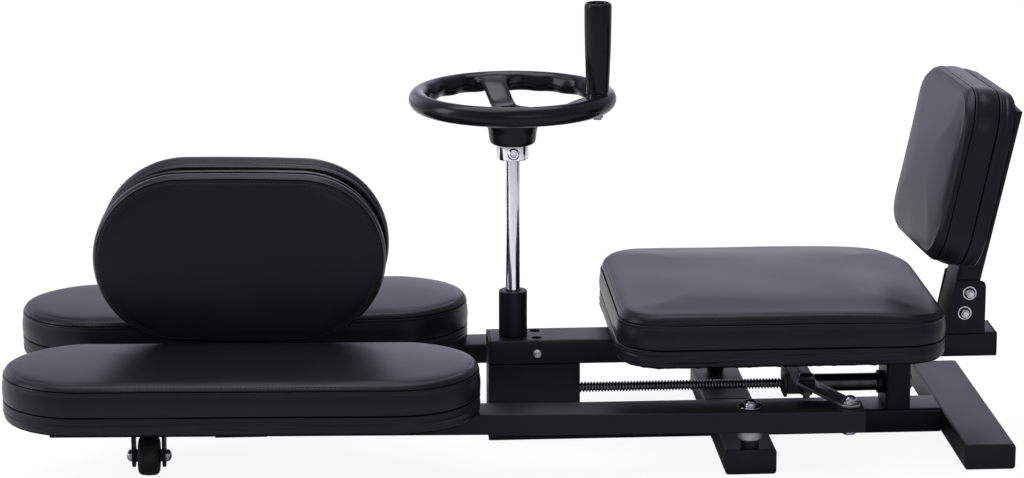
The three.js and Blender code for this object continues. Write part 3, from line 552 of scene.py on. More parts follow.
def makeMainTube():
    t, m = tubes, mainTube
    bottom, high, wide, cap = t["mainBottom"], t["high"], t["wide"], t["cap"]
    middle, top = bottom + high / 2, bottom + high
    front, rear = t["beamFront"] + cap, t["mainRear"] - cap
    coat, plastic = "black_powder_coat", "black_end_cap"
    body = toX(hollowTube(high, wide, t["wall"], t["corner"], front, rear)) + (0, 0, middle)
    piece = Shape().rings(body, True).make("mainTube", coat, "base", "main_tube")
    rods = Shape()
    for side in (-1, 1):
        hole = turnedRings([[m["holeRadius"], middle], [m["holeRadius"], top + 6]], 40)
        rods.rings(hole + (m["holeX"], side * m["holeY"], 0))
    pierce(piece, rods.make("cutter", coat, "base"))
    frontCap = toX(capPlate(high, wide, t["corner"], t["beamFront"], cap)) + (0, 0, middle)
    Shape().rings(frontCap).make("mainTubeCapFront", plastic, "base", "main_tube_cap_front")
    rearCap = toX(capPlate(high, wide, t["corner"], rear, cap)) + (0, 0, middle)
    Shape().rings(rearCap).make("mainTubeCapRear", plastic, "base", "main_tube_cap_rear")

    long = m["housingLong"]
    housing = hollowTube(long, wide, 4, 4, high + 0.05, bottom - 0.05) + (t["beamFront"] + long / 2, 0, 0)
    Shape().rings(housing, True).make("gearboxHousing", coat, "base", "gearbox_housing")
    sleeve = turned(bushing(9.2, m["sleeveRadius"], top, m["sleeveTop"]), 1.4, 64) + (m["columnX"], 0, 0)
    Shape().rings(sleeve, True).make("shaftSleeve", coat, "base", "shaft_sleeve")

    # A domed head with a six-sided socket
    head = [[axis, -2, 0], [2.1, -2, 0], [2.1, 0, 0], [5.2, 0, 0], [5.0, 1.5, 0], [3.2, 2.4, 0],
            [1.9, 2.5, 1], [1.5, 1.1, 1], [axis, 1.1, 0]]
    screw = toMinusY(turned(head, 0.5, 36)) + (m["screwX"], -wide / 2, m["screwZ"])
    Shape().rings(screw).make("housingScrew", "zinc_steel", "base", "housing_screw")


makeMainTube()
print("main tube made")

wheel = {
    "rimRadius": 111,
    "rimThick": 12,
    "height": 414.4,
    "scallops": 18,
    "scallopDeep": 3.8,
    "hubBottom": 359.8,
    "hubTop": 400,
    "hubRadius": 31,
    "spokeAngles": (101, -20, -140),
    "spokeHalfWide": 14.6,
    "spokeHalfThick": 4.6,
    "gripRadius": 105.3,
    "gripAngle": -22,
    "gripBottom": 427.4,
    "gripTop": 534.4,
    "shaftRadius": 8.6,
    "collarBottom": 341.8,
    "collarTop": 359.6,
}


def wheelRim():
    # Its section is round outside, slopes inwards on top and has an inner wall. Round the wheel that wall is
    # drawn outwards by scallopDeep (1 + cos(scallops angle)) / 2, most of all low down: the finger grooves
    w = wheel
    thick = w["rimThick"]
    outside = np.linspace(-math.pi / 2, math.pi / 2 - 0.12, 22)
    edge = [[thick * math.cos(t), thick * math.sin(t)] for t in outside]
    inside = soften([edge[-1], [-1, thick - 0.3], [-thick + 5.5, thick - 2.4], [-thick + 3, thick - 5],
                     [-thick, -1.5], [-thick + 0.4, -thick + 5], [-thick + 4, -thick + 0.6], edge[0]], 2.6, 4)
    section = np.concatenate([np.array(edge), inside[1:-1]])
    around = np.arange(20 * w["scallops"]) / (20 * w["scallops"]) * 2 * math.pi
    wave = ((1 + np.cos(around * w["scallops"])) / 2)[:, None]
    inward = np.clip(-section[None, :, 0] / thick, 0, 1)
    lower = np.clip((1 - section[None, :, 1] / thick) / 2, 0, 1)
    drawn = w["scallopDeep"] * wave * inward ** 0.8 * (0.3 + 0.7 * lower)
    out = w["rimRadius"] + section[None, :, 0] + drawn
    lift = section[None, :, 1] + 0.35 * drawn * np.clip(-section[None, :, 1] / thick, 0, 1)
    a = around[:, None]
    return np.stack([out * np.cos(a), out * np.sin(a), lift + w["height"]], axis=-1)


def wheelSpoke():
    # Rounded sections along x whose middle climbs by a smooth step, 3s^2 - 2s^3, from the hub to the rim.
    # Width and thickness grow exponentially towards the rim, and the width a little towards the hub
    w = wheel
    top, r = w["hubTop"], w["hubRadius"]
    x = np.concatenate([np.linspace(16, 40, 9), np.linspace(44, 84, 11), np.linspace(86, 108, 14)])
    rise = np.clip((x - r) / (w["rimRadius"] - 10 - r), 0, 1)
    rise = rise * rise * (3 - 2 * rise)
    middle = (top - 4.6) + rise * (w["height"] + 2.2 - top + 4.6)
    toRim = 103 - np.minimum(x, 103)
    fromHub = np.maximum(x - r, 0)
    halfWide = w["spokeHalfWide"] + 17 * np.exp(-toRim / 6.5) + 3.5 * np.exp(-fromHub / 5)
    halfThick = w["spokeHalfThick"] + 1.6 * np.exp(-toRim / 5)
    unit = roundedOutline(2, 2, 0.55, 5)
    flat = unit[None] * np.stack([halfWide, halfThick], axis=-1)[:, None, :]
    # The corner's rounding keeps its real size although the section is wide
    edge = np.clip(halfWide[:, None] - np.abs(flat[..., 0]), 0, 4) / 4
    most = halfThick[:, None] * np.sqrt(np.clip(edge * (2 - edge), 0.0, 1)) + 0.02
    lift = np.sign(flat[..., 1]) * np.minimum(np.abs(flat[..., 1]), most)
    along = np.broadcast_to(x[:, None], lift.shape)
    return np.stack([along, flat[..., 0], lift + middle[:, None]], axis=-1)


def makeHandwheel():
    w = wheel
    shape = Shape().rings(wheelRim(), True)
    low, top, r = w["hubBottom"], w["hubTop"], w["hubRadius"]
    hub = [[8.4, low + 1], [8.6, low], [r - 6.5, low], [r - 3.6, low + 3], [r - 2, low + 16], [r, low + 24],
           [r, top - 3], [r - 1.5, top], [10.5, top], [10, top - 1.2], [axis, top - 1.2]]
    shape.rings(turned(hub, 2.4, 72, 5))
    spoke = wheelSpoke()
    for angle in w["spokeAngles"]:
        shape.rings(turnZ(spoke, math.radians(angle)))
    high = w["height"]
    boss = [[5.4, high - 6], [15, high + 2], [12.9, high + 10.5], [12.4, high + 13.8], [5.4, high + 13.8]]
    boss = turned(boss, 1.2) + (w["gripRadius"], 0, 0)
    shape.rings(turnZ(boss, math.radians(w["gripAngle"])), True)
    shape.points += (mainTube["columnX"], 0, 0)
    shape.make("handwheel", "black_gloss_plastic", "wheel", "handwheel", smooth=55)


def makeGrip():
    w = wheel
    angle = math.radians(w["gripAngle"])
    x, y = w["gripRadius"] * math.cos(angle), w["gripRadius"] * math.sin(angle)
    place = np.array([mainTube["columnX"] + x, y, 0])
    bottom, top = w["gripBottom"], w["gripTop"]
    outside = [[5.4, bottom + 1], [5.4, bottom], [13.3, bottom], [13.5, bottom + 8], [15.3, bottom + 50],
               [16, bottom + 82], [16.1, top - 3], [14.8, top], [13, top], [12.3, top - 2.5], [11.8, top - 9],
               [8.9, top - 9.2], [8.9, top - 12], [5.4, top - 12.1], [5.4, top - 12.5]]
    grip = Shape().rings(turned(outside, 1.8, 72, 6) + place, True)
    grip.make("handGrip", "black_gloss_plastic", "grip", "hand_grip", smooth=50)
    foot, head = 395.6, top - 7
    spindle = [[axis, foot, 0], [5, foot, 0], [5, 397.4, 0], [6.6, 397.4, 1], [6.6, 402.1, 1], [5, 402.1, 0],
               [5, head - 4.6, 0], [8.5, head - 4.6, 0], [8.5, head - 0.6, 0], [7.6, head, 0], [4, head, 1],
               [3.6, head - 3, 1], [axis, head - 3, 0]]
    pin = Shape().rings(turned(spindle, 0.5) + place)
    pin.make("gripSpindle", "dull_steel", "wheel", "grip_spindle", slot="zinc_steel")


def makeColumn():
    w = wheel
    place = np.array([mainTube["columnX"], 0, 0])
    shaft = turned(rod(w["shaftRadius"], 66, 394), 0.8, 64)
    Shape().rings(shaft + place).make("wheelShaft", "chrome", "wheel", "wheel_shaft")
    low, top = w["collarBottom"], w["collarTop"]
    collar = turned(bushing(8.65, 19, low, top), 0.9, 72)
    Shape().rings(collar + place, True).make("shaftCollar", "chrome", "wheel", "shaft_collar")
    head = [[axis, 9, 0], [2.2, 9, 0], [2.2, 18.6, 0], [7.2, 18.6, 0], [7.2, 20.2, 0], [5.6, 22.2, 0],
            [4, 22.5, 1], [3.4, 20, 1], [axis, 19.8, 0]]
    screw = toMinusY(turned(head, 0.7)) + place + (0, 0, (low + top) / 2)
    Shape().rings(screw).make("collarScrew", "chrome", "wheel", "collar_screw")


makeHandwheel()
makeGrip()
makeColumn()
print("handwheel and column made")

leadScrew = {
    "height": 57,
    "radius": 6.3,
    "core": 4.5,
    "pitch": 3.75,
    "threadFront": -186.5,
    "threadRear": 96,
    "journal": 4.8,
    "tail": 220.1,
    "front": -258.5,
    "sleeveFront": 94.2,
    "sleeveRear": 176.5,
    "bearingFront": 176.9,
    "bearingRear": 183.7,
    "nutFront": 214.2,
}


def onScrewLine(profile, reach, steps):
    # Turned, laid along x and lifted to the lead screw's height
    return toX(turned(profile, reach, steps)) + (0, 0, leadScrew["height"])


def makeLeadScrew():
    s = leadScrew
    # Thread: the radius follows a rounded trapezoid (0.5 + 1.15 cos, kept within 0 and 1) of the distance
    # along the axis in pitches less the angle's share of a turn
    steps = int((s["threadRear"] - s["threadFront"]) / s["pitch"] * 10)
    x = np.linspace(s["threadFront"], s["threadRear"], steps + 1)
    angle = np.arange(28) / 28 * 2 * math.pi
    along, around = np.meshgrid(x, angle, indexing="ij")
    phase = np.mod(along / s["pitch"] - around / (2 * math.pi), 1)
    ridge = np.clip(0.5 + 1.15 * np.cos(2 * math.pi * phase), 0, 1)
    radius = s["core"] + (s["radius"] - s["core"]) * ridge
    thread = np.stack([along, radius * np.cos(around), radius * np.sin(around)], axis=-1)
    shape = Shape().rings(thread + (0, 0, s["height"]))
    # The crests are worn bright
    crest = (ridge[:-1] + np.roll(ridge[1:], -1, axis=1)) / 2 > 0.8
    shape.kinds[0] = crest.ravel().astype(int)
    for low, high in ((s["front"], s["threadFront"] + 1), (s["threadRear"] - 1, s["tail"])):
        shape.rings(onScrewLine(rod(s["journal"], low, high), 0.6, 32))
    shape.make("leadScrew", ["blackened_steel", "dull_steel"], "screw", "lead_screw", smooth=60)

    sleeve = Shape().rings(onScrewLine(bushing(5.2, 10.8, s["sleeveFront"], s["sleeveRear"]), 0.7, 56), True)
    sleeve.make("stopSleeve", "blackened_steel", "screw", "stop_sleeve")
    ring = bushing(5.4, 14, s["bearingFront"], s["bearingRear"], 1.1)
    bearing = Shape().rings(onScrewLine(ring, 0.8, 56), True)
    bearing.make("screwBearing", "black_powder_coat", "base", "screw_bearing")
    front, tail = s["nutFront"], s["tail"]
    nut = [[5.1, front, 0], [8, front, 1], [10.1, front + 1, 1], [10.1, tail - 0.9, 1], [8, tail, 1],
           [5.1, tail, 0], [5.1, front + 0.8, 0]]
    nut = Shape().rings(onScrewLine(nut, 0.5, 48), True)
    nut.make("screwEndNut", "dull_steel", "screw", "screw_end_nut", slot="zinc_steel")


makeLeadScrew()
print("lead screw made")

arms = {
    "wide": 50,
    "high": 25,
    "wall": 2,
    "corner": 3,
    "bottom": 52.5,
    "front": 812,
    "rear": 132,
    "pivotY": 165,
    "crank": 116,
    "linkWide": 24,
    "linkThick": 4,
    "washer": 0.3,         # between an arm and what lies on it
    "carriageX": 79,
    "carriagePinY": 78,
}


def onLeftArm(points):
    # From an arm that lies along x with its pivot at the origin to the left arm at rest, its toe turned in
    return turnZ(points, -toeIn) - (0, arms["pivotY"], 0)


def makePair(shape, name, materials, body, node, **options):
    # The left piece and its mirror image, each on its own side's body
    for side, part in (("Left", shape), ("Right", shape.mirrored())):
        ending = "_" + side.lower()
        carrier = body if body == "base" else body + ending
        part.make(name + side, materials, carrier, node + ending, **options)


def makeArms():
    a = arms
    body = toX(hollowTube(a["high"], a["wide"], a["wall"], a["corner"], -a["front"], a["rear"]))
    body = body + (0, 0, a["bottom"] + a["high"] / 2)
    makePair(Shape().rings(onLeftArm(body), True), "legArm", "black_powder_coat", "arm", "arm")

    seat = np.array([0, -a["pivotY"], 0])
    bush = [[6.4, 39.6], [13.6, 39.6], [14.6, 41], [14.6, 52.2], [6.4, 52.2], [6.4, 41]]
    neck = [[6.4, 30], [11, 30], [10.6, 31], [10.6, 39.8], [6.4, 39.8], [6.4, 31]]
    shape = Shape().rings(turned(bush, 0.8, 56) + seat, True).rings(turned(neck, 0.5, 56) + seat, True, 1)
    makePair(shape, "pivotBush", ["dull_steel", "black_powder_coat"], "base", "pivot_bush", slot="zinc_steel")
    top = a["bottom"] + a["high"] + a["washer"]
    bolt = [[axis, 30.2, 0], [6, 30.2, 0], [6, top, 0], [14.2, top, 0], [15, top + 0.9, 0],
            [14.4, top + 1.8, 0], [12.6, top + 1.5, 0], [8.6, top + 1.3, 0], [8.3, top + 1.6, 0.5],
            [8.2, top + 3.6, 0.5], [7.4, top + 5, 0.2], [5.6, top + 7.4, 0], [3, top + 8.8, 0],
            [axis, top + 9.1, 0]]
    bolt = Shape().rings(turned(bolt, 0.6, 60) + seat)
    makePair(bolt, "pivotBolt", "dark_chrome", "base", "pivot_bolt", slot="chrome")


def makeLinks():
    # Each link is a slab between its two bolts, waisted by 0.12 (1 - (2 x / length)^2)
    a = arms
    low = a["bottom"] + a["high"] + a["washer"]
    high = low + a["linkThick"]
    outer = turnZ(np.array([a["crank"], 0.0, 0.0]), -toeIn)
    dx = a["carriageX"] - outer[0]
    dy = a["pivotY"] - outer[1] - a["carriagePinY"]
    long = math.hypot(dx, dy)
    outline = roundedOutline(long + a["linkWide"], a["linkWide"], a["linkWide"] / 2 - 0.01, 14)
    inside = np.clip(1 - (outline[:, 0] / (long / 2)) ** 2, 0, 1)
    outline[:, 1] *= 1 - 0.12 * inside
    bar = slab(outline, low, high, 0.8) + (long / 2, 0, 0)
    bar = turnZ(bar, math.atan2(dy, dx)) + (outer[0], outer[1] - a["pivotY"], 0)
    makePair(Shape().rings(bar), "link", "dull_steel", "link", "link", slot="zinc_steel")

    place = np.array([outer[0], outer[1] - a["pivotY"], 0])
    under, nutLow = a["bottom"], a["bottom"] - 8
    bolt = [[axis, nutLow - 0.2, 0], [5, nutLow - 0.2, 0], [5, nutLow, 0], [8, nutLow, 1],
            [8.4, under - 1.6, 1], [10, under - 1.4, 0], [10, under - 0.2, 0], [5, under - 0.2, 0],
            [5, high, 0], [10.2, high + 0.3, 0], [10.5, high + 0.9, 0], [10, high + 1.5, 0],
            [8.9, high + 1.5, 0], [8.9, high + 2.9, 0], [7.9, high + 3.1, 0], [7.7, high + 3.3, 0.5],
            [7.6, high + 5, 0.5], [6.8, high + 6.2, 0.2], [4.8, high + 8.2, 0], [2.4, high + 8.9, 0],
            [axis, high + 9, 0]]
    bolt = Shape().rings(turned(bolt, 0.5, 56) + place)
    makePair(bolt, "armLinkBolt", "dark_chrome", "arm", "arm_link_bolt", slot="chrome")
    inner = [[axis, low, 0], [5, low, 0], [5, high - 0.1, 0], [10.6, high, 0], [10.8, high + 0.8, 0],
             [10.4, high + 1.8, 0], [9.6, high + 2, 1], [10.2, high + 2.6, 1], [10.2, high + 7.6, 1],
             [8.6, high + 8.8, 0.6], [axis, high + 9, 0]]
    pin = turnZ(turned(inner, 0.5, 54), 0.4) + (a["carriageX"], -a["carriagePinY"], 0)
    makePair(Shape().rings(pin), "carriageLinkBolt", "blackened_steel", "link", "carriage_link_bolt")


makeArms()
makeLinks()
print("arms and links made")

carriage = {
    "halfX": 14,
    "halfY": 15,
    "bottom": 47,
    "flangeThick": 3.5,
    "flangeHalf": 17,
    "flangeLow": 43.5,
    "plateLow": 73.3,
    "plateTop": 77.3,
    "plateWide": 24,
    "plateLong": 180,
}


def makeCarriage():
    c = carriage
    half, flangeHalf, plateLow = c["halfX"], c["flangeHalf"], c["plateLow"]
    block = slab(roundedOutline(2 * half, 2 * c["halfY"], 2, 4), c["bottom"], plateLow + 0.2, 1.2)
    shape = Shape().rings(block)
    high = plateLow - c["flangeLow"]
    outline = roundedOutline(high, 2 * flangeHalf, 4, 5)
    flange = toX(slab(outline, -half - c["flangeThick"], -half + 0.1, 0.7))
    shape.rings(flange + (0, 0, c["flangeLow"] + high / 2))
    # A raised ring round the screw where the nut is pressed in, and a bead where the plate is welded on
    shape.rings(onScrewLine(bushing(6.5, 10.4, -half - 4.6, -half - 3, 0.4), 0.6, 48), True)
    bead = roundedOutline(2 * half + 3.4, 2 * c["halfY"] + 3.4, 3, 4)
    shape.rings(slab(bead, plateLow - 2.2, plateLow + 0.3, 1.1))
    plate = roundedOutline(c["plateWide"], c["plateLong"], c["plateWide"] / 2 - 0.01, 12)
    shape.rings(slab(plate, plateLow, c["plateTop"], 0.9))
    nut = [[axis, plateLow - 12, 0], [4, plateLow - 12, 0], [4, plateLow - 8.2, 0], [7, plateLow - 8, 1],
           [7.5, plateLow - 7.2, 1], [7.5, plateLow - 1, 1], [7, plateLow - 0.4, 1], [7, plateLow + 0.4, 0],
           [axis, plateLow + 0.4, 0]]
    for side in (-1, 1):
        shape.rings(turned(nut, 0.5) + (0, side * arms["carriagePinY"], 0), kind=1)
    shape.points += (arms["carriageX"], 0, 0)
    shape.make("nutCarriage", ["cast_iron", "blackened_steel"], "carriage", "nut_carriage")


makeCarriage()
print("carriage made")

casters = {
    "fromPivot": 700,
    "radius": 23.5,
    "wide": 24,
    "bore": 4.3,
    "plateInner": 16,
    "plateThick": 3.2,
    "plateHalf": 13,
    "plateBottom": 10,
}


def makeCasters():
    c = casters

    def place(points):
        return onLeftArm(points - (c["fromPivot"], 0, 0))

    r, half, bore = c["radius"], c["wide"] / 2, c["bore"]
    tread = [[bore, -half], [9, -half], [9.4, -half + 1.2], [17.5, -half + 1.2], [18, -half],
             [r - 3.5, -half], [r - 0.6, -half + 3.5], [r, 0], [r - 0.6, half - 3.5], [r - 3.5, half],
             [18, half], [17.5, half - 1.2], [9.4, half - 1.2], [9, half], [bore, half], [bore, -half + 1]]
    roller = Shape().rings(place(toX(turned(tread, 1.6, 72, 5)) + (0, 0, r)), True)
    makePair(roller, "casterWheel", "black_rubber", "caster", "caster_wheel")

    # Each fork plate is a half circle below and straight above it, up to the arm
    inner, thick, plateHalf, top = c["plateInner"], c["plateThick"], c["plateHalf"], arms["bottom"]
    angle = np.linspace(math.pi, 2 * math.pi, 25)
    bottom = c["plateBottom"] + plateHalf
    ys = np.concatenate([plateHalf * np.cos(angle), [plateHalf, -plateHalf]])
    zs = np.concatenate([bottom + plateHalf * np.sin(angle), [top - 0.2, top - 0.2]])
    outline = np.stack([-zs, ys], axis=-1)[::-1]
    shape = Shape()
    for low in (-inner - thick, inner):
        shape.rings(place(toX(slab(outline, low, low + thick, 0.45))))
    web = slab(roundedOutline(2 * (inner + thick), 2 * plateHalf, 1.5), top - thick, top - 0.1, 0.4)
    shape.rings(place(web))
    makePair(shape, "casterFork", "black_powder_coat", "arm", "caster_fork")

    outer = inner + thick
    nut = [[7.6, outer + 0.1, 0], [8, outer + 0.9, 0], [7.2, outer + 1.3, 0], [7.2, outer + 1.5, 1],
           [7.4, outer + 3.4, 1], [5.6, outer + 5.4, 0.3], [3.2, outer + 6.6, 0], [axis, outer + 7, 0]]
    right = [[4, outer + 0.1, 0], *nut]
    left = [[p[0], -p[1], p[2]] for p in right][::-1]
    shape = Shape().rings(place(toX(turned(left + right, 0.4)) + (0, 0, r)))
    # Two dark spacers keep the wheel in the middle
    for low, high in ((half + 0.4, inner - 0.1), (0.1 - inner, -half - 0.4)):
        spacer = turned(bushing(4.2, 7.5, low, high, 0.4), 0.4)
        shape.rings(place(toX(spacer) + (0, 0, r)), True, 1)
    makePair(shape, "casterAxle", ["zinc_steel", "black_rubber"], "arm", "caster_axle")


makeCasters()
print("casters made")


def evenLoop(long, wide, corner, countLong, countWide):
    # Points of a rounded rectangle, evenly spaced on four runs that start in the middle of each corner's arc,
    # with the directions that point out of it. On an arc both follow (sin, -cos) of the angle turned so far
    quarter = math.pi / 4 * corner
    points, outward = [], []
    for turn in range(4):
        straight = (long if turn % 2 == 0 else wide) - 2 * corner
        half = (wide if turn % 2 == 0 else long) / 2
        count = countLong if turn % 2 == 0 else countWide
        s = np.arange(count) / count * (straight + 2 * quarter)
        after = np.clip((s - quarter - straight) / quarter, 0, 1)
        lean = np.where(s < quarter, s / quarter - 1, after) * math.pi / 4
        x = np.clip(s - quarter, 0, straight) - straight / 2 + corner * np.sin(lean)
        y = -(half - corner) - corner * np.cos(lean)
        nx, ny = np.sin(lean), -np.cos(lean)
        for _ in range(turn):
            x, y = -y, x
            nx, ny = -ny, nx
        points.append(np.stack([x, y], axis=-1))
        outward.append(np.stack([nx, ny], axis=-1))
    return np.concatenate(points), np.concatenate(outward)


def loopOfGrid(grid):
    # The grid's edge points, in the order of evenLoop
    return np.concatenate([grid[:-1, 0], grid[-1, :-1], grid[:0:-1, -1], grid[0, :0:-1]])


def loopOntoGrid(grid, loop):
    # Puts such a loop back on the grid's edge
    long, wide = grid.shape[0] - 1, grid.shape[1] - 1
    grid[:-1, 0], grid[-1, :-1] = loop[:long], loop[long:long + wide]
    grid[:0:-1, -1] = loop[long + wide:2 * long + wide]
    grid[0, :0:-1] = loop[2 * long + wide:]


def fillLoop(loop, countLong, countWide):
    # Grid of points inside a loop: both pairs of facing runs blended, less the blend of the four corners
    low = loop[:countLong + 1]
    right = loop[countLong:countLong + countWide + 1]
    high = loop[countLong + countWide:2 * countLong + countWide + 1][::-1]
    left = np.concatenate([loop[2 * countLong + countWide:], loop[:1]])[::-1]
    a = np.linspace(0, 1, countLong + 1)[:, None, None]
    b = np.linspace(0, 1, countWide + 1)[None, :, None]
    across = (1 - b) * low[:, None] + b * high[:, None]
    along = (1 - a) * left[None] + a * right[None]
    corners = (1 - a) * (1 - b) * low[0] + a * (1 - b) * low[-1] + (1 - a) * b * high[0] + a * b * high[-1]
    return across + along - corners


def doubled(values, axis, closed):
    # Twice as many points along one axis: each new one is (-a + 9b + 9c - d) / 16 of its four neighbours
    values = np.moveaxis(values, axis, 0)
    if closed:
        padded = np.concatenate([values[-1:], values, values[:2]])
        new = (-padded[:-3] + 9 * padded[1:-2] + 9 * padded[2:-1] - padded[3:]) / 16
        out = np.empty((2 * len(values), *values.shape[1:]))
        out[0::2], out[1::2] = values, new
    else:
        padded = np.concatenate([2 * values[:1] - values[1:2], values, 2 * values[-1:] - values[-2:-1]])
        new = (-padded[:-3] + 9 * padded[1:-2] + 9 * padded[2:-1] - padded[3:]) / 16
        out = np.empty((2 * len(values) - 1, *values.shape[1:]))
        out[0::2], out[1::2] = values, new
    return np.moveaxis(out, 0, axis)


def cushionRows(c):
    # (inset, height, held) rows down the side, from just inside the face's seam to the board's edge: the
    # crown falls off exponentially to the seam, band and hem bulge by a sine, and held rows are sewn down
    side, groove, crown, reach, seam = c["side"], c["groove"], c["crown"], c["crownReach"], c["seamInset"]

    def faceHeight(inset):
        return side + 0.5 + crown * (1 - math.exp(-(inset - 0.8) / reach))

    rows = [(seam + inset, faceHeight(inset), 0) for inset in (9, 7.4, 6, 4.9)]
    rows += [(seam + 4.1, faceHeight(4.1) - 0.1, 0)]
    rows += [(seam + inset, faceHeight(inset), 0) for inset in (3.3, 2.4, 1.6)]
    rows += [(seam + 0.8, side + 0.75, 0), (seam + 0.9, side + 0.4, 0), (seam + 3.6, side + 0.2, 1)]
    rows += [(seam + 3.6, side - 0.3, 1), (seam + 0.8, side - 0.6, 0), (seam + 0.3, side - 1.1, 0)]
    rows += [(seam + 0.1, side - 1.9, 0), (seam, side - 2.8, 0), (seam, side - 4.2, 0)]
    rows += [(seam + 0.45, side - 5, 0), (seam, side - 5.8, 0)]
    top, low = side - 6.6, groove + 3
    for f in np.linspace(0, 1, 9):
        drawn = seam * (1 - f) ** 2 - c["bulge"] * math.sin(math.pi * f)
        rows.append((drawn, top + f * (low - top), 0))
    rows += [(0.1, groove + 2, 0), (0.5, groove + 1.1, 0), (1.2, groove + 0.55, 0), (3.8, groove + 0.3, 1)]
    lip = c["lip"]
    rows += [(3.8, groove - 0.3, 1), (1.3 - lip, groove - 0.55, 0), (0.6 - lip, groove - 1.1, 0)]
    rows += [(0.4 - lip, groove - 2, 0), (0.35 - 0.7 * lip, groove - 3.4, 0)]
    rows += [(0.9 - 0.5 * lip, groove - 4.3, 0), (0.4 - 0.3 * lip, groove - 5.1, 0)]
    count = max(6, int((groove - 12) / 0.8))
    for f in np.linspace(0, 1, count):
        rows.append((0.3 - 0.5 * math.sin(math.pi * f), groove - 5.9 + f * (5.6 - groove + 5.9), 0))
    rows += [(0.7, 4.2, 0), (1.3, 3, 0), (2.2, 1.9, 0), (3.4, 1, 0), (5, 0.5, 0), (7, 0.3, 1), (11, 0.3, 1)]
    return np.array(rows, float)


def faceCrown(c, grid):
    # Height of the face over its distance from the edge: a steep crown, 1 - exp(-distance / reach), and a
    # broad dome, 1 - exp(-(distance / reach)^2), less an exponential dip in the corners
    seam = c["seamInset"]
    edgeX = np.clip(c["long"] / 2 - seam - np.abs(grid[..., 0]), 0, None)
    edgeY = np.clip(c["wide"] / 2 - seam - np.abs(grid[..., 1]), 0, None)
    corner = c["corner"] - seam
    cornerX = np.clip(corner - edgeX, 0, None)
    cornerY = np.clip(corner - edgeY, 0, None)
    inCorner = (cornerX > 0) & (cornerY > 0)
    edge = np.where(inCorner, corner - np.hypot(cornerX, cornerY), np.minimum(edgeX, edgeY))
    steep = 1 - np.exp(-np.clip(edge - 0.8, 0, None) / c["crownReach"])
    broad = 1 - np.exp(-(np.clip(edge - 6, 0, None) / c["domeReach"]) ** 2)
    sunk = c["cornerDrop"] * np.exp(-(edgeX + edgeY) / 45) * (1 - np.exp(-np.clip(edge - 9, 0, None) / 12))
    return c["side"] + 0.5 + c["crown"] * steep + c["dome"] * broad - sunk


def cushionParts(c, scale):
    # Face grid, side rings and board grid of a cushion that lies on z = 0. Each ring is the outline drawn in
    # by its row's inset, and scale multiplies the cells
    countLong, countWide = c["cells"][0] * scale, c["cells"][1] * scale
    loop, outward = evenLoop(c["long"], c["wide"], c["corner"], countLong, countWide)
    rows = cushionRows(c)
    rings = np.empty((len(rows), len(loop), 3))
    rings[..., :2] = loop[None] - outward[None] * rows[:, 0, None, None]
    rings[..., 2] = rows[:, 1, None]
    face2d = fillLoop(rings[0, :, :2], countLong, countWide)
    face = np.concatenate([face2d, faceCrown(c, face2d)[..., None]], axis=-1)
    rings[0, :, 2] = loopOfGrid(face)[:, 2]
    board2d = fillLoop(rings[-1, :, :2], countLong, countWide)
    board = np.concatenate([board2d, np.full((*board2d.shape[:2], 1), 0.3)], axis=-1)
    return face, rings, board, outward


def cushionFaces(face, rings, board):
    # One closed mesh: the face's edge is the first ring and the board's edge is the last
    a, b = face.shape[:2]
    count = rings.shape[1]
    boardStart = a * b + count * (len(rings) - 2)
    points = np.concatenate([part.reshape(-1, 3) for part in (face, rings[1:-1], board)])
    numbers = np.arange(a * b).reshape(a, b)
    middle = np.arange(a * b, boardStart).reshape(-1, count)
    table = np.concatenate([loopOfGrid(numbers)[None], middle, loopOfGrid(numbers + boardStart)[None]])
    nextOne = np.roll(table, -1, axis=1)
    quads = np.stack([table[:-1], table[1:], nextOne[1:], nextOne[:-1]], axis=-1).reshape(-1, 4)
    top = gridFaces(a, b, closedColumns=False)
    return points, [top, quads, top[:, ::-1] + boardStart]


coverTrial = {
    "ticks": 20,
    "rowGap": 4.5,         # of the coarse rings, in mm
    "quality": 5,
    "mass": 0.25,
    "tension": 40,
    "shear": 20,
    "bending": 3,
    "pressure": 2,
    "share": 0.5,          # how much of the movement is kept
    "most": 1.4,           # and how many mm at most
}


def coarseRows(rows, run):
    # Numbers of the rows that the simulation uses: the sewn ones, and others between them, rowGap apart
    held = rows[:, 2] > 0.5
    keep = [0]
    for k in range(1, len(rows)):
        gap = run[k] - run[keep[-1]]
        if held[k] and not held[keep[-1]] and gap < 3 and len(keep) > 1:
            keep[-1] = k
        elif held[k] and held[keep[-1]] and gap < 1:
            continue
        elif held[k] or gap > coverTrial["rowGap"]:
            keep.append(k)
    if keep[-1] != len(rows) - 1:
        keep.append(len(rows) - 1)
    return keep


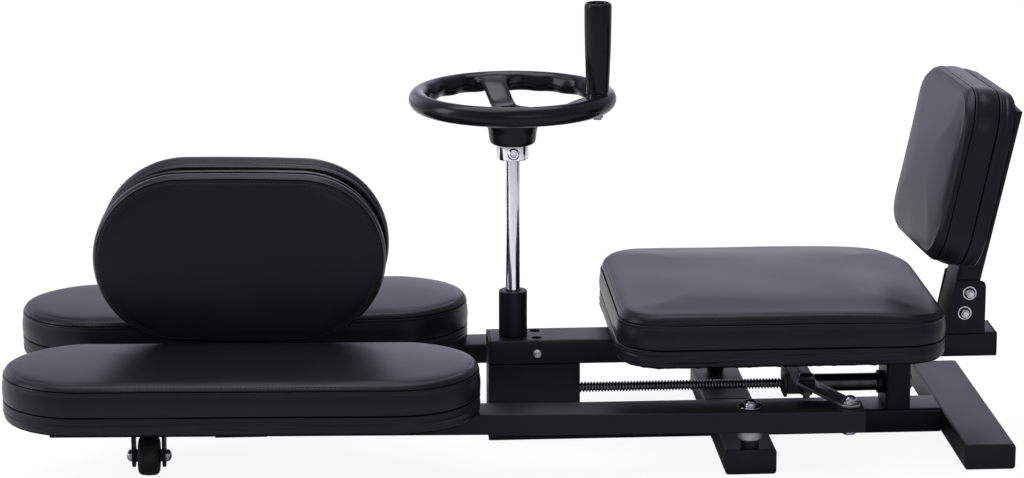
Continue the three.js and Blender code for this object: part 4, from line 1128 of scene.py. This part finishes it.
def inflate(start, quads, pins):
    # How far each point of a cover moves when it is blown up for a few ticks while its pinned points stay
    t = coverTrial
    mesh = bpy.data.meshes.new("trial")
    mesh.from_pydata((start * mm).tolist(), [], quads.tolist())
    trial = bpy.data.objects.new("trial", mesh)
    scene.collection.objects.link(trial)
    group = trial.vertex_groups.new(name="held")
    group.add(np.nonzero(pins)[0].tolist(), 1.0, "REPLACE")
    cloth = trial.modifiers.new("cloth", "CLOTH")
    cloth.settings.quality = t["quality"]
    cloth.settings.mass = t["mass"]
    cloth.settings.tension_stiffness = t["tension"]
    cloth.settings.compression_stiffness = t["tension"]
    cloth.settings.shear_stiffness = t["shear"]
    cloth.settings.bending_stiffness = t["bending"]
    cloth.settings.use_pressure = True
    cloth.settings.uniform_pressure_force = t["pressure"]
    cloth.settings.vertex_group_mass = "held"
    cloth.settings.effector_weights.gravity = 0
    cloth.collision_settings.use_collision = False
    cloth.point_cache.frame_start = 1
    cloth.point_cache.frame_end = t["ticks"]
    for tick in range(t["ticks"]):
        scene.frame_set(tick + 1)
    done = trial.evaluated_get(bpy.context.evaluated_depsgraph_get())
    end = np.empty(len(start) * 3, np.float32)
    done.data.vertices.foreach_get("co", end)
    moved = end.reshape(-1, 3) / mm - start
    bpy.data.objects.remove(trial)
    scene.frame_set(1)
    return moved


def swell(c):
    # Blows the cover up at a coarse size. Returns how far the face's grid moved and, in straight blends
    # between the coarse rings, how far every ring moved
    face, rings, board, _ = cushionParts(c, 1)
    rows = cushionRows(c)
    run = np.concatenate([[0], np.cumsum(np.hypot(*np.diff(rows[:, :2], axis=0).T))])
    keep = coarseRows(rows, run)
    coarse = rings[keep]
    start, faceSets = cushionFaces(face, coarse, board)
    size = face.shape[0] * face.shape[1]
    count = coarse.shape[1]
    pins = np.zeros(len(start))
    for position, k in enumerate(keep[1:-1]):
        if rows[k, 2] > 0.5:
            pins[size + position * count:size + (position + 1) * count] = 1
    pins[size + (len(keep) - 2) * count:] = 1
    flip = volume(start, faceSets) < 0
    quads = np.concatenate([faces[:, ::-1] if flip else faces for faces in faceSets])
    moved = inflate(start, quads, pins)
    far = np.linalg.norm(moved, axis=1)
    print(f"  cover moved {far.mean():.2f} mm on average, {far.max():.2f} at most")
    share, most = coverTrial["share"], coverTrial["most"]
    moved *= np.minimum(share, most / np.maximum(far, 1e-6))[:, None]
    faceMove = moved[:size].reshape(*face.shape[:2], 3)
    ringMove = np.concatenate([loopOfGrid(faceMove)[None],
                               moved[size:size + (len(keep) - 2) * count].reshape(-1, count, 3),
                               np.zeros((1, count, 3))])
    places = run[keep]
    allMoves = np.empty((len(rows), count, 3))
    for k in range(len(rows)):
        above = min(np.searchsorted(places, run[k], side="right"), len(places) - 1)
        below = above - 1
        part = (run[k] - places[below]) / (places[above] - places[below])
        allMoves[k] = ringMove[below] * (1 - part) + ringMove[above] * part
    return faceMove, allMoves


def foldField(c, length, rows, arc):
    # Long shallow folds on the lower band: each is exp(-(distance along the loop / reach)^4), times a bell
    # curve exp(-(height / width)^2) across it
    field = np.zeros((len(rows), len(arc)))
    span = max(c["groove"] - 9, 4)
    for _ in range(int(length / 30)):
        centre, reach = chance.uniform(0, length), chance.uniform(24, 95)
        height, wide = 3.5 + chance.uniform(0, 1) * span, chance.uniform(0.7, 1.3)
        tilt = chance.normal(0, 0.012)
        depth = chance.uniform(0.35, 1.05) * chance.choice([-1, -1, 1])
        away = np.mod(arc - centre + length / 2, length) - length / 2
        along = np.exp(-(away / reach) ** 4)
        across = np.exp(-((rows[:, 1, None] - height - tilt * away[None]) / wide) ** 2)
        field += depth * along[None] * across
    fade = np.clip((rows[:, 1] - 1.5) / 2, 0, 1) * np.clip((c["groove"] - 4.8 - rows[:, 1]) / 1.5, 0, 1)
    return field * fade[:, None]


def puckerField(length, rows, arc, seamHeight):
    # Small gathers beside a sewn line: a sum of sines along the loop, fading exponentially away from the line
    wave = np.zeros(len(arc))
    for _ in range(22):
        turns = int(chance.integers(int(length / 26), int(length / 8)))
        wave += chance.normal(0, 1) * np.sin(2 * math.pi * turns * arc / length + chance.uniform(0, 6.28))
    wave /= np.abs(wave).max()
    near = np.exp(-np.abs(rows[:, 1] - seamHeight) / 2.6)
    return near[:, None] * wave[None]


def stitches(loop, outward, pitch=4.4, long=3.1, thick=0.42):
    # One small spindle per stitch, laid along the loop: five rings of six points, girth times (cos, sin) of
    # the angle, bowed outwards by 1 - t^2
    closed = np.concatenate([loop, loop[:1]])
    steps = np.concatenate([[0], np.cumsum(np.linalg.norm(np.diff(closed, axis=0), axis=1))])
    count = int(steps[-1] / pitch)
    place = np.arange(count) / count * steps[-1]
    centre = np.stack([np.interp(place, steps, closed[:, k]) for k in range(3)], axis=-1)
    further = (place + 1) % steps[-1]
    ahead = np.stack([np.interp(further, steps, closed[:, k]) for k in range(3)], axis=-1) - centre
    ahead /= np.linalg.norm(ahead, axis=1)[:, None]
    out = np.concatenate([outward, outward[:1]])
    out = np.stack([np.interp(place, steps, out[:, k]) for k in range(3)], axis=-1)
    side = np.cross(ahead, out)
    side /= np.linalg.norm(side, axis=1)[:, None]
    out = np.cross(side, ahead)
    t = np.array([-1, -0.72, 0, 0.72, 1])
    girth = np.array([0.25, 0.85, 1.0, 0.85, 0.25]) * thick
    bow = 0.35 * thick * (1 - t ** 2)
    angle = np.arange(6) / 6 * 2 * math.pi
    u = t[:, None] * long / 2 + 0 * angle[None]
    v = girth[:, None] * np.cos(angle)[None]
    w = girth[:, None] * np.sin(angle)[None] + bow[:, None]
    points = (centre[:, None, None] + u[..., None] * ahead[:, None, None]
              + v[..., None] * side[:, None, None] + w[..., None] * out[:, None, None])
    one = gridFaces(5, 6)
    caps = np.stack([np.arange(6)[::-1], np.arange(6) + 24])
    jumps = np.arange(count)[:, None, None] * 30
    return points.reshape(-1, 3), [(one[None] + jumps).reshape(-1, 4), (caps[None] + jumps).reshape(-1, 6)]


def sink(c, along):
    # How much lower the cushion is towards its rear end: the sink times a squared share of the length
    share = np.clip((along / c["long"] + 0.05) / 0.55, 0, 1)
    return c["sink"] * share * share


def fullness(c, along, across):
    # Factor on the foam's rise: fuller in proportion to the far side, thinner exponentially near the rear end
    thin = c["rearThin"] * np.exp(-np.clip(c["long"] / 2 - along, 0, None) / c["rearReach"])
    return (1 + c["farFull"] * across / (c["wide"] / 2)) * (1 - thin)


def cushionShapes(c):
    # The dressed cover, and its stitches, about the cushion's own centre with its board on z = 0
    face, rings, board, outward = cushionParts(c, 2)
    rows = cushionRows(c)
    faceMove, ringMove = swell(c)
    face += doubled(doubled(faceMove, 0, False), 1, False)
    rings += doubled(ringMove, 1, True)
    loop = rings[len(rows) // 2, :, :2]
    gaps = np.linalg.norm(np.roll(loop, -1, axis=0) - loop, axis=1)
    arc, length = np.cumsum(gaps) - gaps, gaps.sum()
    move = foldField(c, length, rows, arc)
    move += 0.3 * puckerField(length, rows, arc, c["side"] - 5)
    move += 0.3 * puckerField(length, rows, arc, c["groove"])
    move[-3:] = 0
    rings[..., :2] += outward[None] * move[..., None]
    # The foam is fuller on the far side, and thins out towards the rear end
    for points in (face, rings):
        rise = np.clip(points[..., 2] - c["side"] - 0.5, 0, None)
        points[..., 2] += rise * (fullness(c, points[..., 0], points[..., 1]) - 1)
    near = np.clip(1 - (c["side"] - rows[:, 1]) / (c["side"] - c["groove"] - 3), 0, 1)
    rings[..., 2] -= near[:, None] * sink(c, loop[:, 0])[None]
    face[..., 2] -= sink(c, face[..., 0])
    # The cover's lower edge wanders a little up and down
    hem = c["hem"] * puckerField(length, rows, arc, 0) * np.clip(1 - rows[:, 1, None] / 9, 0, 1)
    hem[-2:] = 0
    rings[..., 2] -= np.abs(hem) - 0.3 * hem
    # Slow unevenness of the face, as foam under a tight cover has
    for _ in range(9):
        kx, ky = chance.normal(0, 0.035, 2)
        amount = chance.uniform(0.06, 0.16)
        face[..., 2] += amount * np.sin(kx * face[..., 0] + ky * face[..., 1] + chance.uniform(0, 6.28))
    loopOntoGrid(face, rings[0])
    points, faceSets = cushionFaces(face, rings, board)
    cover = Shape()
    cover.add(points, faceSets)
    cover.kinds[2][:] = 1
    # The mouths of the seam and of the groove, and the lowest rows by the board, are given painted shade
    between = (rows[:-1, 1] + rows[1:, 1]) / 2
    seamMouth = (between > c["side"] - c["seamShade"]) & (between < c["side"] + 0.7)
    grooveMouth = (between > c["groove"] - c["grooveShade"]) & (between < c["groove"] + 0.9)
    shaded = seamMouth | grooveMouth | (between < 2.5)
    cover.kinds[1][:] = np.repeat(np.where(shaded, 2, 0), rings.shape[1])
    sewn = Shape()
    out3 = np.column_stack([outward, np.zeros(len(outward))])
    tilted = out3 * 0.4 + (0, 0, 0.92)
    belowSeam = int(np.argmin(np.abs(rows[:, 1] - c["side"] + 5)))
    belowGroove = int(np.argmin(np.abs(rows[:, 1] - c["groove"] + 4.3)))
    for row, out in ((4, tilted), (belowSeam, out3), (belowGroove, out3)):
        stitchPoints, stitchFaces = stitches(rings[row] + out * 0.05, out)
        sewn.points, before = np.concatenate([sewn.points, stitchPoints]), len(sewn.points)
        for faces in stitchFaces:
            sewn.faceSets.append(faces + before)
            sewn.kinds.append(np.zeros(len(faces)))
    return cover, sewn


def placed(shapes, move):
    # The same cover and stitches with their points moved
    others = []
    for shape in shapes:
        other = Shape()
        other.points, other.faceSets, other.kinds = move(shape.points), shape.faceSets, shape.kinds
        others.append(other)
    return others


def finishCushion(shapes, name, body, node):
    cover, sewn = shapes
    piece = cover.make(name, ["black_leatherette", "board", "seam_shade"], body, node, smooth=60)
    sewn.make(name + "Stitches", "thread", body, slot="black_leatherette", smooth=60)


plain = {
    "sink": 0, "cornerDrop": 0, "farFull": 0, "rearThin": 0, "rearReach": 40,
    "seamShade": 0.6, "grooveShade": 0.6,    # how far the shade reaches below a seam and a groove
}
seat = {
    **plain,
    "long": 388, "wide": 336, "corner": 56, "side": 52, "groove": 22.5, "seamInset": 0.8, "bulge": 0.8,
    "hem": 1.6, "lip": 0.5, "crown": 13.8, "crownReach": 3.8, "dome": 6, "domeReach": 48, "cornerDrop": 2,
    "cells": (46, 40), "middle": 42, "level": 124.5,
    "sink": 2, "farFull": 0.12, "rearThin": 0.92, "rearReach": 38,
}
legPad = {
    **plain,
    "long": 551, "wide": 194, "corner": 96.9, "side": 53, "groove": 23, "seamInset": 0.8, "bulge": 0.7,
    "hem": 0.4, "lip": 0.6, "crown": 9.5, "crownReach": 6, "dome": 2, "domeReach": 40,
    "cells": (62, 19), "fromPivot": 589.8, "outward": 10, "level": 77.5,
}
innerPad = {
    **plain,
    "long": 342, "wide": 197.5, "corner": 98.6, "side": 48, "groove": 20.8, "seamInset": 1.6, "bulge": 2,
    "hem": 0.5, "lip": 1.7, "crown": 6, "crownReach": 7, "dome": 2.5, "domeReach": 45,
    "cells": (38, 20), "middle": (-591.5, 234.5), "back": 5.2, "bow": 0.014, "bowReach": 90,
    "seamShade": 3.4, "grooveShade": 1.13,
    # Shift and lift in mm, lean over the outer seam and turn in the pad's own plane
    "near": (0, 0.1, 0, 0.018), "far": (5, 0.2, -0.09, 0.026),
}
backPad = {
    **plain,
    "long": 213, "wide": 246, "corner": 49, "side": 50, "groove": 21, "seamInset": 1.5, "bulge": 1,
    "hem": 0.6, "lip": 0.7, "crown": 14, "crownReach": 7, "dome": 5, "domeReach": 45, "cornerDrop": 6,
    "cells": (26, 30), "middle": 374.5, "tilt": math.radians(12.08), "roll": -0.03, "yaw": 0.04,
    "postRear": 249.1, "postThick": 30,
}


def makeSeat():
    def move(points):
        return points + (seat["middle"], 0, seat["level"])

    finishCushion(placed(cushionShapes(seat), move), "seatCushion", "base", "seat_cushion")


def makeLegPads():
    def move(points):
        return onLeftArm(points + (-legPad["fromPivot"], -legPad["outward"], legPad["level"]))

    shapes = placed(cushionShapes(legPad), move)
    finishCushion(shapes, "legPadLeft", "arm_left", "leg_pad_left")
    finishCushion([shape.mirrored() for shape in shapes], "legPadRight", "arm_right", "leg_pad_right")


def makeInnerPads():
    p = innerPad
    shapes = cushionShapes(p)
    for side, (shift, lift, lean, askew) in (("Left", p["near"]), ("Right", p["far"])):

        def move(points):
            # Stood on edge, a little higher in the middle by 1 - (x / reach)^2, leaning and turned
            x, y, z = points[:, 0], points[:, 1], points[:, 2]
            bowed = y * (1 + p["bow"] * np.clip(1 - (x / p["bowReach"]) ** 2, 0, None))
            height = bowed + lift - lean * z - askew * x
            upright = np.stack([x + shift + askew * y, -z, height], axis=-1)
            return upright + (p["middle"][0], -p["back"], p["middle"][1])

        pads = placed(shapes, move)
        if side == "Right":
            pads = [pad.mirrored() for pad in pads]
        finishCushion(pads, "innerPad" + side, "arm_" + side.lower(), "inner_pad_" + side.lower())


def onBackPost(points):
    # From upright, with the post's rear face at x = 0, to the leaning post: turned about y by its tilt
    c, s = math.cos(backPad["tilt"]), math.sin(backPad["tilt"])
    x, y, z = points[..., 0] + backPad["postRear"], points[..., 1], points[..., 2]
    return np.stack([x * c + z * s, y, -x * s + z * c], axis=-1)


def makeBackPad():
    def move(points):
        # Stood up, then a little rolled and turned on its post
        upright = np.stack([-points[:, 2], points[:, 1], points[:, 0]], axis=-1)
        tipped = upright @ np.array(Matrix.Rotation(backPad["roll"], 3, "X")).T
        tipped = turnZ(tipped, backPad["yaw"])
        return onBackPost(tipped + (-backPad["postThick"] - 1.6, 0, backPad["middle"]))

    finishCushion(placed(cushionShapes(backPad), move), "backCushion", "base", "back_cushion")


makeSeat()
makeLegPads()
makeInnerPads()
makeBackPad()
print("cushions made")

backPost = {
    "top": 457,
    "webTop": 127.5,
    "outer": 33.3,
    "bolts": ((281, 175), (275.7, 150.5)),
}


def makeBackPost():
    p = backPost
    thick, wide = tubes["high"], tubes["wide"]
    top = p["top"] - tubes["cap"]
    rings = hollowTube(thick, wide, tubes["wall"], tubes["corner"], 0, top) - (thick / 2, 0, 0)
    # Each corner starts where it meets the bracket's level web
    c, s = math.cos(backPad["tilt"]), math.sin(backPad["tilt"])
    start = (p["webTop"] + 0.3 + (rings[..., 0] + backPad["postRear"]) * s) / c
    rings[..., 2] = np.where(rings[..., 2] < 1, start, rings[..., 2])
    Shape().rings(onBackPost(rings), True).make("backUpright", "black_powder_coat", "base", "back_upright")
    cap = capPlate(thick, wide, tubes["corner"], top, tubes["cap"]) - (thick / 2, 0, 0)
    Shape().rings(onBackPost(cap)).make("backUprightCap", "black_end_cap", "base", "back_upright_cap")

    # The bracket's two ears and the web between them
    ear = [[251, 124.7], [301, 124.7], [301, 183], [299.2, 188.2], [294, 190], [263.5, 190]]
    ear = np.array([ear[0], *soften(ear + [ear[0]], 2.2, 4)[1:-1]])
    bracket = Shape()
    for low in (-p["outer"], p["outer"] - 3):
        bracket.rings(toMinusY(slab(ear, low, low + 3, 0.5)))
    bracket.rings(slab(roundedOutline(50, 2 * p["outer"] - 0.4, 0.8), 124.6, 127.5, 0.4) + (276, 0, 0))
    bracket.make("backBracket", "black_powder_coat", "base", "back_bracket")

    outer = p["outer"]
    bolt = [[axis, -30, 0], [4, -30, 0], [4, outer, 0], [8.2, outer + 0.1, 0], [8.6, outer + 0.8, 0],
            [8.2, outer + 1.5, 0], [5.9, outer + 1.5, 0], [5.9, outer + 1.9, 1], [5.9, outer + 5, 1],
            [5.1, outer + 6, 0.7], [3.7, outer + 6.1, 0], [3.4, outer + 8, 0], [axis, outer + 8, 0]]
    # A ring of painted shade in the recess between washer and head
    shadeRing = [[5, outer + 1.3], [6.9, outer + 1.3], [6.9, outer + 1.7], [5, outer + 1.8], [5, outer + 1.4]]
    nut = [[axis, 20, 0], [4, 20, 0], [4, outer, 0], [7.4, outer + 0.1, 1], [7.4, outer + 4.4, 1],
           [6, outer + 5, 0.6], [axis, outer + 5, 0]]
    for ending, (x, z) in zip(("Upper", "Lower"), p["bolts"]):
        shape = Shape()
        shape.rings(toMinusY(turned(bolt, 0.4)) + (x, 0, z))
        shape.rings(toMinusY(turned(shadeRing, 0.15)) + (x, 0, z), True, 1)
        shape.rings(toY(turned(nut, 0.4)) + (x, 0, z))
        shape.make("backBolt" + ending, ["zinc_steel", "seam_shade"], "base", "back_bolt_" + ending.lower())


makeBackPost()
print("backrest post made")


def makeStage():
    mesh = bpy.data.meshes.new("floor")
    mesh.from_pydata([(-9, -9, 0), (9, -9, 0), (9, 9, 0), (-9, 9, 0)], [], [(0, 1, 2, 3)])
    floor = bpy.data.objects.new("floor", mesh)
    scene.collection.objects.link(floor)
    finish = Finish("paleFloor", (0.8, 0.8, 0.8), 0.9)
    finish.sheen(0.2, (1, 1, 1))
    tree = finish.tree
    # To the camera and to shiny pieces the floor is white; near the machine part of it still shows the shadow
    path = finish.node("ShaderNodeLightPath")
    apart = finish.node("ShaderNodeVectorMath", {"operation": "LENGTH"}, {0: finish.place}).outputs["Value"]
    share = Value(finish, path.outputs["Is Camera Ray"]) * spread(tree, apart, 0.5, 1.6, 0.86, 1.0)
    glow = finish.node("ShaderNodeEmission", {}, {"Color": (1, 1, 1, 1), "Strength": 1.06})
    # Well behind the machine it is a lit backdrop, which shiny pieces mirror
    across = finish.node("ShaderNodeSeparateXYZ", {}, {0: finish.place}).outputs["Y"]
    shiny = Value(finish, path.outputs["Is Glossy Ray"]) * spread(tree, across, 1.0, 2.6, 0.0, 0.9)
    lit = finish.node("ShaderNodeEmission", {}, {"Color": (0.9, 0.87, 1.05, 1), "Strength": 0.9})
    base = finish.shader.outputs["BSDF"]
    plainly = finish.node("ShaderNodeMixShader", {}, {0: shiny, 1: base, 2: lit.outputs[0]})
    mixed = finish.node("ShaderNodeMixShader", {}, {0: share, 1: plainly.outputs[0], 2: glow.outputs[0]})
    feed(tree, finish.out.inputs["Surface"], mixed.outputs[0])
    mesh.materials.append(finish.material)


def areaLight(name, place, target, size, power):
    data = bpy.data.lights.new(name, "AREA")
    data.shape = "RECTANGLE"
    data.size, data.size_y = size
    data.energy = power
    light = bpy.data.objects.new(name, data)
    place, target = np.array(place, float), np.array(target, float)
    back = (place - target) / np.linalg.norm(place - target)
    side = np.cross([0, 0, 1], back)
    side /= np.linalg.norm(side)
    up = np.cross(back, side)
    turn = Matrix([[side[i], up[i], back[i]] for i in range(3)]).to_4x4()
    light.matrix_world = Matrix.Translation(place.tolist()) @ turn
    scene.collection.objects.link(light)


studio = {
    "backdropLeft": 0.65,  # what shiny pieces see behind the machine
    "backdropRight": 1.6,
    "backdropEnd": 0.3,    # a share of it at its right end
    "screen": 1.55,        # a pale screen to the left of that
    "room": 0.42,          # and in the rest of the room
    "ambient": 0.5,
    "cool": (1.0, 0.965, 1.17),
}
lamps = {
    "topLight": {"place": (-0.3, 0.4, 2.6), "target": (0, 0, 0.2), "size": (2.6, 1.8), "power": 60},
    "leftLight": {"place": (-2.4, -0.2, 1.1), "target": (-0.2, 0, 0.3), "size": (0.9, 1.6), "power": 26},
    "frontLight": {"place": (0.6, -3.2, 1.5), "target": (0, 0, 0.2), "size": (2.2, 1.2), "power": 14},
}


def makeWorld():
    # White to the camera, even light to everything else, and to shiny pieces a room with a backdrop
    world = bpy.data.worlds.new("studio")
    scene.world = world
    world.use_nodes = True
    tree = world.node_tree
    tree.nodes.clear()

    def maths(operation, one, two):
        return addNode(tree, "ShaderNodeMath", {"operation": operation}, {0: one, 1: two}).outputs[0]

    path = addNode(tree, "ShaderNodeLightPath").outputs
    toward = addNode(tree, "ShaderNodeTexCoord").outputs["Generated"]
    ray = addNode(tree, "ShaderNodeSeparateXYZ", {}, {0: toward}).outputs
    behind = spread(tree, ray["Y"], 0.35, 0.8, smooth=True)
    low = spread(tree, ray["Z"], 0.75, 0.35, smooth=True)
    backdrop = spread(tree, ray["X"], -0.3, 0.3, studio["backdropLeft"], studio["backdropRight"])
    screen = spread(tree, ray["X"], -0.22, -0.36, 0.3, studio["screen"])
    end = spread(tree, ray["X"], 0.19, 0.36, 1.0, studio["backdropEnd"])
    backdrop = maths("MULTIPLY", maths("MAXIMUM", backdrop, screen), end)
    mirrored = spread(tree, maths("MULTIPLY", behind, low), 0, 1, studio["room"], backdrop)
    shiny = maths("MAXIMUM", path["Is Glossy Ray"], path["Is Transmission Ray"])
    around = spread(tree, shiny, 0, 1, studio["ambient"], mirrored)
    seen = spread(tree, path["Is Camera Ray"], 0, 1, around, 1.0)
    tint = {0: shiny, 6: (1, 1, 1, 1), 7: (*studio["cool"], 1)}
    tint = addNode(tree, "ShaderNodeMix", {"data_type": "RGBA"}, tint).outputs[2]
    ground = addNode(tree, "ShaderNodeBackground", {}, {"Color": tint, "Strength": seen})
    addNode(tree, "ShaderNodeOutputWorld", {}, {"Surface": ground.outputs[0]})


makeStage()
makeWorld()
for name, lamp in lamps.items():
    areaLight(name, **lamp)
scene.view_settings.view_transform = "Standard"
print("stage and lights made")
